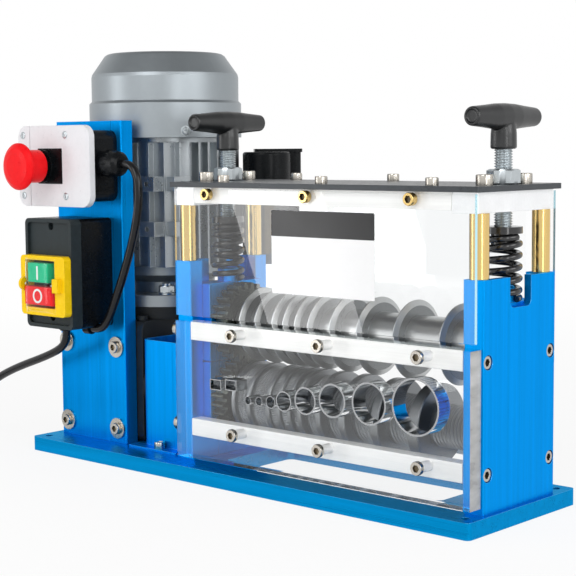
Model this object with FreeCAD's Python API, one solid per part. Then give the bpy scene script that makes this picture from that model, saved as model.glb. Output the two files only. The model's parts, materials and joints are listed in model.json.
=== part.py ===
"""Electric wire stripping machine for the bench.

Ten feed channels lead a cable between a driven lower roller and an upper
roller of ring blades.  A worm gearbox under a flange motor turns the lower
roller, a pair of gears turns the upper one, and two T-handled screws press
the upper roller down through springs.

Millimetres.  The origin is the centre of the base's underside, X runs along
the rollers, -Y is the side where the cable goes in, and Z is up.
"""
import FreeCAD
import Part
import math
import os

V = FreeCAD.Vector
X = V(1, 0, 0)
Y = V(0, 1, 0)
Z = V(0, 0, 1)

# Bench base
base_width = 145.0
base_thick = 13.0
base_corner = 4.0
window_length = 229.0           # chip window under the rollers
window_width = 84.5
window_shift = -6.75            # its middle, from the head's middle
window_back = 13.25             # and behind the roller axes
window_corner = 6.0
mount_inset = 11.0              # bench holes, from both edges
mount_hole = 7.0

# Cutting head: two side plates joined by four bars
head_inset = 4.0                # right side plate to the base's right end
head_length = 319.5             # over both side plates
drive_gap = 70.5                # gearbox to head
head_y = -1.0                   # roller axes and middle of the side plates
side_thick = 17.5
side_depth = 95.5
side_height = 173.0
side_edge = 1.2
cheek = 6.0                     # what the block channel leaves of a plate
channel_width = 67.0
slot_width = 28.0               # spring slot in the cheek
slot_depth = 22.8
slot_corner = 5.0
bar_depth = 12.0
bar_height = 15.0
bar_low_z = 42.5                # centres of the cross bars
bar_high_z = 125.7
rear_bar_inset = 0.0

# Bearing blocks, guided in the channels
block_thick = 20.0
block_gap = 0.2                 # sliding clearance each side
block_edge = 1.5
upper_block_top = 166.0
seat_radius = 9.3               # spring guide on a block and under a collar
seat_height = 12.0

# Rollers
lower_axis_z = 65.5
axis_distance = 65.0            # with the upper roller right down
running_fit = 0.05
shaft_radius = 10.0
arbor_radius = 16.0             # carries the blades
blade_radius = 31.75
blade_thick = 5.0
blade_bevel = 4.5
blade_edge = 0.8
spacer_radius = 19.8
disc_radius = 32.6              # wide feed discs between the channels
disc_edge = 0.8
disc_over = 2.4                 # disc edge past its channel's edge
disc_share = 0.24               # disc width as a share of the channel
disc_least = 4.0
bite = 0.36                     # cable height left at the blade, as a share
sleeve_gap = 0.1
sleeve_groove = 0.9             # grip grooves in the wider feed sleeves
groove_pitch = 3.2
groove_margin = 4.0             # at both ends of a sleeve together
sleeve_clear = 0.3

# Round channels: distance from the head's right end, centre height, and
# diameter over the bush, in a head of the usual length
usual_length = 319.5
round_channels = [
    (51.4, 89.8, 44.0),
    (95.8, 87.3, 33.5),
    (132.6, 85.6, 27.2),
    (160.6, 82.3, 22.4),
    (183.6, 79.4, 16.6),
    (198.0, 77.1, 10.2),
    (210.9, 76.4, 7.6),
    (223.2, 75.8, 7.0),
]
# Flat channels: distance, centre height, width and height over the bush
flat_channels = [
    (242.8, 86.3, 13.2, 9.2),
    (260.6, 85.0, 13.2, 9.2),
]
bush_wall = 1.5                 # at most; small bushes are thinner
bush_wall_share = 0.06
bush_wall_least = 0.5
flat_bush_wall = 0.8
flat_corner = 1.0
bush_length = 15.0

# Gears, equal, inside the left block
gear_module = 2.5
gear_teeth = 26
gear_width = 14.0
gear_gap = 1.5                  # gear to block
gear_backlash = 0.3
pressure_angle = 20.0

# Clear guide block in front of the lower roller
guide_thick = 14.0
guide_left = 10.5               # from the head's left end
guide_right = 2.0               # from the head's right end
guide_bottom = 18.0
guide_top = 136.0
guide_edge = 0.8
guide_screw_x = [79.0, 173.5, 271.2]

# Top: four pillars, two bridges, two cover bars and a plate
pillar_radius = 7.0
pillar_height = 48.0
pillar_inset = 8.75             # from the head's ends
bridge_inset = 4.0
bridge_width = 22.0
bridge_height = 15.4
bridge_depth = 101.0
cover_bar_depth = 9.5
cover_bar_height = 13.4
plate_thick = 4.3
plate_depth = 111.8
plate_lap = 0.3                 # past the head's ends
plate_corner = 2.0
plate_screw_x = [55.5, 163.5, 271.5]
bridge_screw_y = 26.0

# Clear covers
cover_thick = 3.0
cover_inset = 4.0
cover_gap_top = 1.4
front_cover_low = 139.5
rear_cover_low = 114.7
cover_screw_x = [45.5, 155.0, 259.1]

# Press screws over the blocks
press_inset = 16.0              # from the head's ends
press_radius = 7.0
collar_radius = 14.6
collar_thick = 5.1
collar_top = 222.4
collar_pocket = 3.0
nut_flats = 22.0
nut_height = 11.5
handle_z = 304.0
handle_length = 84.0
handle_radius = 9.9
handle_end = 7.0
handle_recess = 5.0
handle_stem = 24.0
handle_bore = 16.0
spring_radius = 12.2            # to the middle of the wire
spring_wire = 5.0
spring_turns = 6.0
spring_end_pitch = 5.5

# Screws
m8_head = 6.5
m8_head_high = 8.0
m8_radius = 4.0
m6_head = 5.0
m6_head_high = 6.0
m6_radius = 3.0
brass_head = 5.0
brass_head_high = 5.6
brass_radius = 2.0
bolt_fit = 0.1
washer_radius = 9.5
washer_thick = 1.8
side_screw_reach = 22.0
guide_screw_reach = 22.0
tower_screw_reach = 24.0
plate_screw_reach = 12.0

# Gearbox
gearbox_inset = 15.0            # from the base's left end
gearbox_width = 91.0
gearbox_front = 26.0            # front face to the output axis
gearbox_height = 112.2
gearbox_edge = 8.0
plug_inset = 9.0                # oil plug, from two edges of the top
plug_radius = 5.0
plug_high_out = 4.0
worm_offset = 50.0
worm_radius = 33.0
output_boss = 26.0
output_boss_out = 5.0
drive_flange = 11.2
flange_radius = 70.0

# Coupling and its guard
coupling_radius = 25.0
hub_length = 22.0
jaw_length = 12.0
jaw_gap = 0.4
jaw_count = 3
output_radius = 12.5
guard_front = 35.0              # outer faces, from the roller axis
guard_back = 33.0
guard_length = 62.5
guard_height = 98.0
guard_sheet = 2.0
guard_bend = 8.0
guard_foot = 11.0
guard_foot_length = 62.0
guard_foot_shift = 8.0
guard_screw_shift = 28.5

# Motor
motor_flange = 11.2
shield_height = 25.2
shield_foot = 46.0              # radii, from the flange up
shield_rim = 57.0
shield_foot_height = 10.0
shield_rim_height = 17.0
shield_web = 50.0
shield_web_thick = 8.0
shield_web_height = 14.0
motor_core = 50.0
motor_height = 119.2
fin_offsets = [-12.0, 0.0, 12.0]
fin_reach = 58.0                # motor axis to the fin tips, on four sides
fin_thick = 2.4
fin_short = 4.5                 # fins end below the cowl
pad_near = 32.8                 # square corner columns, from the axis
pad_far = 49.2
pad_fin_reach = 55.3
lug_levels = [28.8, 70.2]       # bottoms, above the finned body's foot
lug_height = 13.4
lug_near = 26.7                 # across its side of the motor
lug_far = 46.6
lug_reach = 60.0
lug_hole = 2.6
lug_hole_deep = 6.0
cowl_height = 79.2
cowl_radius = 72.3
cowl_step_radius = 69.9
cowl_step = 32.0
cowl_step_blend = 2.4
cowl_top_radius = 55.5
cowl_chamfer = 21.0
vent_count = 24                 # air slots in the cowl's top
vent_width = 3.4
vent_depth = 2.0
vent_inner = 16.0
vent_outer = 48.0
vent_stagger = 12.0
terminal_angle = 45.0
terminal_low = 172.7
drum_reach = 96.0               # capacitor drum, motor axis to its axis
drum_side = -16.0
drum_radius = 23.0
drum_high = 278.0
drum_edge = 2.5
terminal_near = 86.0            # terminal box behind the drum
terminal_far = 129.0
terminal_side_near = -12.0
terminal_side_far = 34.0
terminal_high = 277.5
terminal_corner = 5.0
terminal_lid = 3.3
terminal_lid_lap = 1.5
terminal_neck = 36.0
terminal_neck_near = 62.0
terminal_neck_low = 192.0
terminal_neck_high = 238.0

# Tower plate, in front of the gearbox
tower_inset = 7.0
tower_width = 91.0
tower_thick = 14.5
tower_height = 294.5
tower_edge = 1.5
tower_screw_x = [10.0, 80.0]
tower_screw_z = [13.6, 88.8]

# Emergency stop, on the tower's face
stop_left = -6.0                # box, from the tower's left edge
stop_width = 91.5
stop_half_high = 32.0           # above and below the knob's axis
stop_deep = 30.0
stop_corner = 9.0
lid_lap = 4.5
lid_thick = 6.0
lid_corner = 11.0
lid_groove_x = 12.0
knob_x = 26.5
knob_z = 267.0
knob_collar = 15.0
knob_collar_thick = 3.7
knob_travel = 4.0
knob_neck = 14.8
knob_neck_length = 16.5
knob_radius = 21.0
knob_flare = 3.0
knob_rim = 2.0
knob_dome = 5.0
stem_radius = 12.0
stem_tip = 8.0
stem_tip_length = 8.0
stem_behind = 3.0
gland_radius = 12.0
gland_length = 25.5
gland_above = 2.0               # above the knob's axis

# Start and stop switch, below it
switch_left = 11.0              # from the tower's left edge
switch_width = 65.0
switch_low = 121.0
switch_high = 220.0
switch_deep = 36.0
switch_corner = 5.0
switch_cover = 11.5
cover_hole = 3.6
cover_hole_x = 34.0
bezel_x = 2.0
bezel_width = 62.0
bezel_low = 133.0
bezel_high = 187.0
bezel_thick = 7.5
bezel_corner = 4.0
bezel_window_x = 8.5
bezel_window = 41.5
bezel_window_low = 140.0
bezel_window_high = 182.8
cover_rim = 3.5                 # raised rim round the cover's face
cover_recess = 2.7
ear_x = 6.0                     # round ear and square lug of the bezel
ear_thick = 3.0
ear_radius = 6.2
hinge_z = 161.0
lug_x = 51.5
lug_wide = 7.7
lug_half_high = 6.4
lug_out = 4.5
button_out = 3.0                # past the bezel, and the travel
button_back = 7.6
button_gap = 0.3
button_edge = 1.2
start_x = 15.5
start_width = 28.1
start_low = 163.0
start_high = 180.5
stop_x = 10.4
stop_button_width = 37.8
stop_button_low = 142.5
stop_button_high = 159.2

# Cables
cable_radius = 3.75
link_back = 16.0                # cable plane, from the tower's face
link_gland = 5.5
link_gland_end = 54.0           # where the link cable enters, from the switch
link_gland_length = 8.0
link_z = 119.5
mains_x = 32.0                  # mains gland, from the switch's left side
mains_back = 28.0
mains_gland = 6.5
mains_gland_length = 4.0
coil_radius = 57.0
coil_step = 8.4                 # between loops and between layers
coil_turns = 4.5
coil_tail = 12.0
coil_exit = 48.0
# Points the link cable goes round, from the stop box's gland: x, and z
link_route = [(0, 269), (9, 269), (17, 262), (20.5, 248), (19, 228), (11, 200), (-2, 170),
              (-14.5, 145), (-22, 131.5), (-28, 124)]
link_entry = 11.5               # the last straight run, into the switch
# The mains lead's points, from the gland under the switch: x, and z
mains_route = [(0, 117), (0, 110), (-4.5, 103), (-12.5, 97.8), (-25, 92.5), (-42, 86.5), (-62, 80),
               (-83, 72.5), (-104, 63.5), (-124, 52), (-141.5, 38), (-156, 24.5), (-169, 13.6),
               (-182, 6.6), (-195, 3.75), (-210, 3.75)]
plug_length = 42.0
plug_wide = 30.0
plug_high = 23.0
plug_neck = 12.0
plug_pin = 17.0
plug_corner = 5.0

# What follows from those sizes
top_z = base_thick
base_length = gearbox_inset + gearbox_width + drive_gap + head_length + head_inset
left_end = -base_length / 2
right_end = base_length / 2
head_right = right_end - head_inset
head_left = head_right - head_length
inner_left = head_left + side_thick
inner_right = head_right - side_thick
head_front = head_y - side_depth / 2
head_back = head_y + side_depth / 2
side_top = top_z + side_height
block_width = channel_width - 2 * block_gap
block_out = cheek + block_gap
block_left = (head_left + block_out, head_left + block_out + block_thick)
block_right = (head_right - block_out - block_thick, head_right - block_out)
upper_axis_z = lower_axis_z + axis_distance
nip_z = lower_axis_z + axis_distance / 2
block_half = axis_distance / 2 - block_gap
lower_block_low = lower_axis_z - block_half
guide_front = head_front - guide_thick
plate_low = side_top + pillar_height + bridge_height
bridge_low = side_top + pillar_height
plate_top = plate_low + plate_thick
press_left = head_left + press_inset
press_right = head_right - press_inset
collar_low = collar_top - collar_thick
gear_left = (block_left[1] + gear_gap, block_left[1] + gear_gap + gear_width)
gearbox_left = left_end + gearbox_inset
gearbox_right = gearbox_left + gearbox_width
motor_x = gearbox_left + gearbox_width / 2
motor_y = head_y + worm_offset
gearbox_face = head_y - gearbox_front
gearbox_top = top_z + gearbox_height
drive_top = gearbox_top + drive_flange
flange_top = drive_top + motor_flange
shield_top = flange_top + shield_height
body_top = shield_top + motor_height
fin_top = body_top - fin_short
cowl_top = body_top + cowl_height
tower_left = left_end + tower_inset
tower_right = tower_left + tower_width
tower_face = gearbox_face - tower_thick
stop_low = knob_z - stop_half_high
stop_high = knob_z + stop_half_high
gland_z = knob_z + gland_above
stop_x0 = tower_left + stop_left
stop_x1 = stop_x0 + stop_width
stop_front = tower_face - stop_deep
lid_front = stop_front - lid_thick
switch_x0 = tower_left + switch_left
switch_x1 = switch_x0 + switch_width
switch_front = tower_face - switch_deep
cover_front = switch_front - switch_cover
bezel_front = cover_front - bezel_thick
hub_end = output_boss_out + hub_length


def box(x0, x1, y0, y1, z0, z1):
    """A block between two corners."""
    return Part.makeBox(x1 - x0, y1 - y0, z1 - z0, V(x0, y0, z0))


def rod(radius, start, end):
    """A cylinder between two points."""
    way = V(*end) - V(*start)
    return Part.makeCylinder(radius, way.Length, V(*start), way)


def tube(outer, inner, start, end):
    """A plain bush between two points."""
    return rod(outer, start, end).cut(rod(inner, start, end))


def turned(profile, foot, way):
    """A turned solid: (radius, height) pairs about an axis from foot."""
    points = [V(r, 0, h) for r, h in profile]
    face = Part.Face(Part.makePolygon(points + points[:1]))
    solid = face.revolve(V(), Z, 360)
    solid.Placement = FreeCAD.Placement(V(*foot), FreeCAD.Rotation(Z, V(*way)))
    return solid


def round_edges(shape, radius, way, keep=None):
    """Round the straight edges that run one way, or those that keep picks."""
    edges = []
    for edge in shape.Edges:
        if not isinstance(edge.Curve, (Part.Line, Part.LineSegment)):
            continue
        along = (edge.Vertexes[-1].Point - edge.Vertexes[0].Point).normalize()
        if abs(along.dot(way)) > 0.999 and (keep is None or keep(edge.CenterOfMass)):
            edges.append(edge)
    return shape.makeFillet(radius, edges) if edges else shape


def prism(points, rise):
    """A solid pushed out from a closed outline."""
    points = [V(*p) for p in points]
    return Part.Face(Part.makePolygon(points + points[:1])).extrude(rise)


def turn(shape, degrees, centre, axis):
    """A copy, turned about an axis."""
    copy = shape.copy()
    copy.rotate(V(*centre), axis, degrees)
    return copy


def join(shapes):
    """One solid out of several that meet."""
    return shapes[0].multiFuse(shapes[1:]).removeSplitter()


def save(node, *shapes):
    """Write one node with each of its solids."""
    solids = [s for shape in shapes for s in shape.Solids]
    Part.makeCompound(solids).exportStep("parts/" + node + ".step")


def cap_screw(seat, way, radius, head, high, reach):
    """A socket screw's head and shank; way points into the work."""
    seat = V(*seat)
    return rod(head, seat, seat - way * high).fuse(rod(radius, seat, seat + way * reach))


def screw_hole(seat, way, radius, reach):
    """Room for that shank, open to the seat."""
    seat = V(*seat)
    return rod(radius + bolt_fit, seat - way * 0.5, seat + way * (reach + 1))


# Where the screws sit, shared by the screws and by what they hold
def side_screws():
    """Seats in both side plates, into the ends of the bars."""
    seats = []
    for z in (bar_low_z, bar_high_z):
        for y in (head_front + bar_depth / 2, head_back - rear_bar_inset - bar_depth / 2):
            seats.append(((head_left, y, z), X))
            seats.append(((head_right, y, z), X * -1))
    return seats


def guide_screws():
    """Seats on the clear guide block, into the front bars."""
    return [((head_left + x, guide_front, z), Y)
            for x in guide_screw_x for z in (bar_low_z + 2, bar_high_z + 2)]


def bridge_screws():
    """Seats on the top plate, into the bridges."""
    return [((x, head_y + y, plate_top), Z * -1)
            for x in (bridge_middle(-1), bridge_middle(1)) for y in (-bridge_screw_y, bridge_screw_y)]


def plate_screws():
    """Smaller seats on the top plate, into the cover bars."""
    reach = bridge_depth / 2 - cover_bar_depth / 2
    return [((head_left + x, head_y + y, plate_top), Z * -1)
            for x in plate_screw_x for y in (-reach, reach)]


def tower_screws():
    """Seats on the tower plate, with washers, into the gearbox."""
    return [((tower_left + x, tower_face, top_z + z), Y)
            for x in tower_screw_x for z in tower_screw_z]


def cover_screws():
    """Seats on both clear covers, into the cover bars."""
    half = bridge_depth / 2 + cover_thick
    z = plate_low - cover_bar_height / 2 + 1.0
    return ([((head_left + x, head_y - half, z), Y) for x in cover_screw_x]
            + [((head_left + x, head_y + half, z), Y * -1) for x in cover_screw_x])


def guard_screw():
    """The one screw in the guard's foot."""
    x = head_left - guard_length + guard_screw_shift
    y = head_y - guard_front - m6_head - 0.3
    return ((x, y, top_z + guard_sheet), Z * -1)


def bridge_middle(side):
    """Middle of a bridge; side is -1 at the left and 1 at the right."""
    end = head_left if side < 0 else head_right
    return end - side * (bridge_inset + bridge_width / 2)


def channels():
    """Every feed channel as x, z, width, height, and whether it is round."""
    share = head_length / usual_length
    rounds = [(head_right - x * share, z, d, d, True) for x, z, d in round_channels]
    flats = [(head_right - x * share, z, w, h, False) for x, z, w, h in flat_channels]
    return rounds + flats


def make_base():
    """Base plate with its chip window and bench holes."""
    plate = box(left_end, right_end, -base_width / 2, base_width / 2, 0, top_z)
    plate = round_edges(plate, base_corner, Z)
    middle = (inner_left + inner_right) / 2 + window_shift
    middle_y = head_y + window_back
    window = box(middle - window_length / 2, middle + window_length / 2,
                 middle_y - window_width / 2, middle_y + window_width / 2, -1, top_z + 1)
    plate = plate.cut(round_edges(window, window_corner, Z))
    for x in (left_end + mount_inset, right_end - mount_inset):
        for y in (-base_width / 2 + mount_inset, base_width / 2 - mount_inset):
            plate = plate.cut(rod(mount_hole / 2, (x, y, -1), (x, y, top_z + 1)))
    seat, way = guard_screw()
    plate = plate.cut(screw_hole(seat, way, m6_radius, plate_screw_reach - 3))
    save("base_plate", plate)


def make_side_plate(node, outer, side):
    """Side plate with the channel for its blocks and the spring slot."""
    inner = outer - side * side_thick
    face = outer - side * cheek
    plate = box(min(outer, inner), max(outer, inner), head_front, head_back, top_z, side_top)
    plate = round_edges(plate, side_edge, Z)
    floor = lower_block_low
    channel = box(min(face, inner - side), max(face, inner - side),
                  head_y - channel_width / 2, head_y + channel_width / 2, floor, side_top + 1)
    plate = plate.cut(channel)
    slot = box(min(outer + side, face - side), max(outer + side, face - side),
               head_y - slot_width / 2, head_y + slot_width / 2,
               side_top - slot_depth, side_top + slot_corner + 1)
    plate = plate.cut(round_edges(slot, slot_corner, X))
    if side < 0:
        plate = plate.cut(rod(shaft_radius + 3, (outer - 1, head_y, lower_axis_z),
                              (inner + 1, head_y, lower_axis_z)))
    for seat, way in side_screws():
        plate = plate.cut(screw_hole(seat, way, m8_radius, side_screw_reach))
    save(node, plate)


def make_cross_bars():
    """Four bars between the side plates."""
    bars = []
    for z in (bar_low_z, bar_high_z):
        for y in (head_front, head_back - rear_bar_inset - bar_depth):
            bar = box(inner_left, inner_right, y, y + bar_depth, z - bar_height / 2, z + bar_height / 2)
            bar = round_edges(bar, 0.8, X)
            for seat, way in side_screws():
                bar = bar.cut(screw_hole(seat, way, m8_radius, side_screw_reach))
            for seat, way in guide_screws():
                bar = bar.cut(screw_hole(seat, way, m8_radius, guide_screw_reach))
            bars.append(bar)
    save("cross_bars", *bars)


def channel_shape(channel, grow, y0, y1):
    """A channel's bore or the outside of its bush."""
    x, z, wide, high, is_round = channel
    if is_round:
        return rod(wide / 2 + grow, (x, y0, z), (x, y1, z))
    block = box(x - wide / 2 - grow, x + wide / 2 + grow, y0, y1,
                z - high / 2 - grow, z + high / 2 + grow)
    return round_edges(block, flat_corner + grow, Y)


def bush_thick(channel):
    """Wall of a channel's bush."""
    if not channel[4]:
        return flat_bush_wall
    return max(bush_wall_least, min(bush_wall, bush_wall_share * channel[2]))


def make_guide():
    """Clear guide block and the polished bushes of its ten channels."""
    block = box(head_left + guide_left, head_right - guide_right, guide_front, head_front,
                guide_bottom, guide_top)
    block = block.makeChamfer(guide_edge, block.Edges)
    bushes = []
    for channel in channels():
        block = block.cut(channel_shape(channel, 0, guide_front - 1, head_front + 1))
        bush = channel_shape(channel, 0, guide_front, guide_front + bush_length)
        bore = channel_shape(channel, -bush_thick(channel), guide_front - 1, guide_front + bush_length + 1)
        bushes.append(bush.cut(bore))
    for seat, way in guide_screws():
        block = block.cut(screw_hole(seat, way, m8_radius, guide_screw_reach))
    save("guide_block", block)
    save("guide_bushes", *bushes)


def make_block(x0, x1, z0, z1):
    """A bearing block, free in its channel."""
    block = box(x0, x1, head_y - block_width / 2, head_y + block_width / 2, z0, z1)
    return round_edges(block, block_edge, X)


def make_blocks():
    """Fixed lower blocks and sliding upper blocks."""
    lower = []
    upper = []
    for x0, x1 in (block_left, block_right):
        axis = ((x0 - 1, head_y, lower_axis_z), (x1 + 1, head_y, lower_axis_z))
        block = make_block(x0, x1, lower_block_low, lower_axis_z + block_half)
        lower.append(block.cut(rod(shaft_radius + running_fit, *axis)))
        block = make_block(x0, x1, upper_axis_z - block_half, upper_block_top)
        axis = ((x0 - 1, head_y, upper_axis_z), (x1 + 1, head_y, upper_axis_z))
        block = block.cut(rod(shaft_radius + running_fit, *axis))
        press = press_left if x0 == block_left[0] else press_right
        guide = turned([(0, 0), (seat_radius, 0), (seat_radius, seat_height - 1.5),
                        (seat_radius - 1.5, seat_height), (0, seat_height)],
                       (press, head_y, upper_block_top), Z)
        upper.append(block.fuse(guide))
    save("lower_bearing_blocks", *lower)
    save("upper_bearing_blocks", *upper)


def gear(x0, z, phase):
    """An involute gear along X, with a tooth at the phase angle."""
    pitch = gear_module * gear_teeth / 2
    base = pitch * math.cos(math.radians(pressure_angle))
    tip = pitch + gear_module
    root = pitch - 1.25 * gear_module
    half = (math.pi * gear_module / 2 - gear_backlash / 2) / (2 * pitch)
    lean = math.tan(math.radians(pressure_angle)) - math.radians(pressure_angle)

    def flank(radius):
        """Half the tooth's angle at a radius."""
        if radius <= base:
            return half + lean
        roll = math.sqrt((radius / base) ** 2 - 1)
        return half + lean - (roll - math.atan(roll))

    def at(radius, angle):
        return V(x0, head_y + radius * math.cos(angle), z + radius * math.sin(angle))

    start = max(base, root)
    radii = [start + (tip - start) * share for share in (0, 0.5, 1)]
    step = 2 * math.pi / gear_teeth
    edges = []
    for tooth in range(gear_teeth):
        angle = math.radians(phase) + tooth * step
        rise = [at(r, angle - flank(r)) for r in radii]
        fall = [at(r, angle + flank(r)) for r in reversed(radii)]
        edges.append(Part.LineSegment(at(root, angle - flank(start)), rise[0]).toShape())
        edges.append(Part.Arc(*rise).toShape())
        edges.append(Part.Arc(rise[2], at(tip, angle), fall[0]).toShape())
        edges.append(Part.Arc(*fall).toShape())
        edges.append(Part.LineSegment(fall[2], at(root, angle + flank(start))).toShape())
        edges.append(Part.Arc(at(root, angle + flank(start)), at(root, angle + step / 2),
                              at(root, angle + step - flank(start))).toShape())
    wheel = Part.Face(Part.Wire(edges)).extrude(X * gear_width)
    for x in (x0, x0 + gear_width - 1.5):
        recess = tube(root - 4, arbor_radius + 5, (x, head_y, z), (x + 1.5, head_y, z))
        wheel = wheel.cut(recess)
    return wheel.cut(rod(shaft_radius, (x0 - 1, head_y, z), (x0 + gear_width + 1, head_y, z)))


def make_gears():
    """Equal gears, a tooth of the lower one in a gap of the upper."""
    save("lower_gear", gear(gear_left[0], lower_axis_z, 90))
    save("upper_gear", gear(gear_left[0], upper_axis_z, -90 + 180 / gear_teeth))


def make_upper_roller():
    """Arbor, ring blades over the channels and the sleeves between them."""
    start = gear_left[1] + gear_gap
    end = block_right[0] - gear_gap
    z = upper_axis_z
    arbor = turned([(0, block_left[0] + 1), (shaft_radius, block_left[0] + 1), (shaft_radius, start),
                    (arbor_radius, start), (arbor_radius, end), (shaft_radius, end),
                    (shaft_radius, block_right[1] - 1), (0, block_right[1] - 1)], (0, head_y, z), X)
    save("upper_shaft", arbor)
    flat = blade_thick / 2
    blades = []
    middles = sorted(channel[0] for channel in channels())
    for x in middles:
        blades.append(turned([(arbor_radius, -flat), (blade_radius - blade_bevel, -flat),
                              (blade_radius, -blade_edge / 2), (blade_radius, blade_edge / 2),
                              (blade_radius - blade_bevel, flat), (arbor_radius, flat)],
                             (x, head_y, z), X))
    save("stripping_blades", *blades)
    sleeves = []
    ends = [start] + [x + flat for x in middles]
    stops = [x - flat for x in middles] + [end]
    for x0, x1 in zip(ends, stops):
        sleeves.append(tube(spacer_radius, arbor_radius, (x0, head_y, z), (x1, head_y, z)))
    save("spacer_sleeves", *sleeves)


def disc_spans():
    """Where the feed discs stand: each just left of its channel."""
    spans = []
    for x, z, wide, high, is_round in channels():
        width = max(disc_least, disc_share * wide)
        over = min(disc_over, 0.1 * wide)
        right = x - wide / 2 + over
        spans.append((right - width, right))
    return sorted(spans)


def make_lower_roller():
    """Driven shaft, wide discs between the channels and sleeves under them."""
    z = lower_axis_z
    start = gear_left[1] + gear_gap
    end = block_right[0] - gear_gap
    shaft_start = gearbox_right + hub_end + jaw_length + jaw_gap
    shaft = turned([(0, shaft_start), (shaft_radius, shaft_start), (shaft_radius, start),
                    (arbor_radius, start), (arbor_radius, end), (shaft_radius, end),
                    (shaft_radius, block_right[1] - 1), (0, block_right[1] - 1)], (0, head_y, z), X)
    save("lower_shaft", shaft)
    discs = []
    for x0, x1 in disc_spans():
        discs.append(turned([(arbor_radius, x0), (disc_radius - disc_edge, x0),
                             (disc_radius, x0 + disc_edge), (disc_radius, x1 - disc_edge),
                             (disc_radius - disc_edge, x1), (arbor_radius, x1)], (0, head_y, z), X))
    save("feed_discs", *discs)
    room = axis_distance - blade_radius
    sleeves = []
    starts = [start] + [span[1] for span in disc_spans()]
    stops = [span[0] for span in disc_spans()] + [end]
    heights = [0.0] + [c[3] for c in sorted(channels())]
    for x0, x1, high in zip(starts, stops, heights):
        if x1 - x0 < 0.5:
            continue
        radius = room - bite * high - sleeve_clear if high else spacer_radius
        sleeves.append(feed_sleeve(x0, x1, radius))
    save("feed_sleeves", *sleeves)


def feed_sleeve(x0, x1, radius):
    """A sleeve on the lower shaft, grooved round where it is wide."""
    profile = [(arbor_radius, x0), (radius, x0)]
    count = int((x1 - x0 - groove_margin) / groove_pitch)
    if count > 2:
        first = (x0 + x1 - (count - 1) * groove_pitch) / 2
        for i in range(count):
            x = first + i * groove_pitch
            profile += [(radius, x - sleeve_groove), (radius - sleeve_groove, x),
                        (radius, x + sleeve_groove)]
    profile += [(radius, x1), (arbor_radius, x1)]
    return turned(profile, (0, head_y, lower_axis_z), X)


def make_coupling():
    """Jaw coupling from the gearbox output to the lower shaft."""
    z = lower_axis_z
    x0 = gearbox_right + output_boss_out + running_fit
    x1 = gearbox_right + hub_end
    x2 = x1 + jaw_length + jaw_gap
    x3 = min(x2 + hub_length, head_left - 1)
    drive = turned([(0, x0 - 14), (output_radius, x0 - 14), (output_radius, x0),
                    (coupling_radius, x0), (coupling_radius, x1), (0, x1)], (0, head_y, z), X)
    driven = tube(coupling_radius, shaft_radius, (x2, head_y, z), (x3, head_y, z))
    spider = tube(coupling_radius - 1, 7, (x1 + jaw_gap / 2, head_y, z), (x2 - jaw_gap / 2, head_y, z))
    step = 360 / jaw_count
    for i in range(jaw_count):
        cutter = jaw(i * step, x1 - 1, x2 + 1, 0.4)
        spider = spider.cut(cutter)
        cutter = jaw(i * step + step / 2, x1 - 1, x2 + 1, 0.4)
        spider = spider.cut(cutter)
        drive = drive.fuse(jaw(i * step, x1, x2 - jaw_gap, 0))
        driven = driven.fuse(jaw(i * step + step / 2, x1 + jaw_gap, x2, 0))
    save("shaft_coupling", drive, spider, driven)


def jaw(angle, x0, x1, grow):
    """One claw of the coupling."""
    reach = coupling_radius + (1 if grow else 0)
    shape = tube(reach, 14 - grow, (x0, head_y, lower_axis_z), (x1, head_y, lower_axis_z))
    width = math.pi * coupling_radius * 2 / jaw_count / 4 + 2 * grow
    slab = box(x0 - 1, x1 + 1, head_y - width / 2, head_y + width / 2,
               lower_axis_z, lower_axis_z + reach + 1)
    slab = turn(slab, angle, (x0, head_y, lower_axis_z), X)
    return shape.common(slab)


def make_guard():
    """Bent sheet round the coupling, open at the top, with a front foot."""
    x0 = head_left - guard_length
    x1 = head_left
    y0 = head_y - guard_front
    y1 = head_y + guard_back
    t = guard_sheet
    outer = box(x0, x1 + 20, y0, y1, top_z, top_z + guard_height)
    inner = box(x0 + t, x1 + 21, y0 + t, y1 - t, top_z - 1, top_z + guard_height + 1)
    at_left = (lambda p: p.x < x1)
    outer = round_edges(outer, guard_bend, Z, at_left)
    inner = round_edges(inner, guard_bend - t, Z, at_left)
    sheet = outer.cut(inner).common(box(x0 - 1, x1, y0 - 1, y1 + 1, top_z, top_z + guard_height))
    mouth = coupling_radius + 3
    sheet = sheet.cut(rod(mouth, (x0 - 1, head_y, lower_axis_z), (x0 + guard_bend, head_y, lower_axis_z)))
    sheet = sheet.cut(box(x0 - 1, x0 + guard_bend, head_y - mouth, head_y + mouth, top_z - 1, lower_axis_z))
    foot = box(x0 - guard_foot_shift, x0 - guard_foot_shift + guard_foot_length,
               y0 - guard_foot, y0 + t, top_z, top_z + t)
    foot = round_edges(foot, 2.0, Z, lambda p: p.y < y0)
    sheet = join([sheet, foot])
    seat, way = guard_screw()
    sheet = sheet.cut(screw_hole(seat, way, m6_radius, plate_screw_reach - 3))
    save("coupling_guard", sheet)


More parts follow.
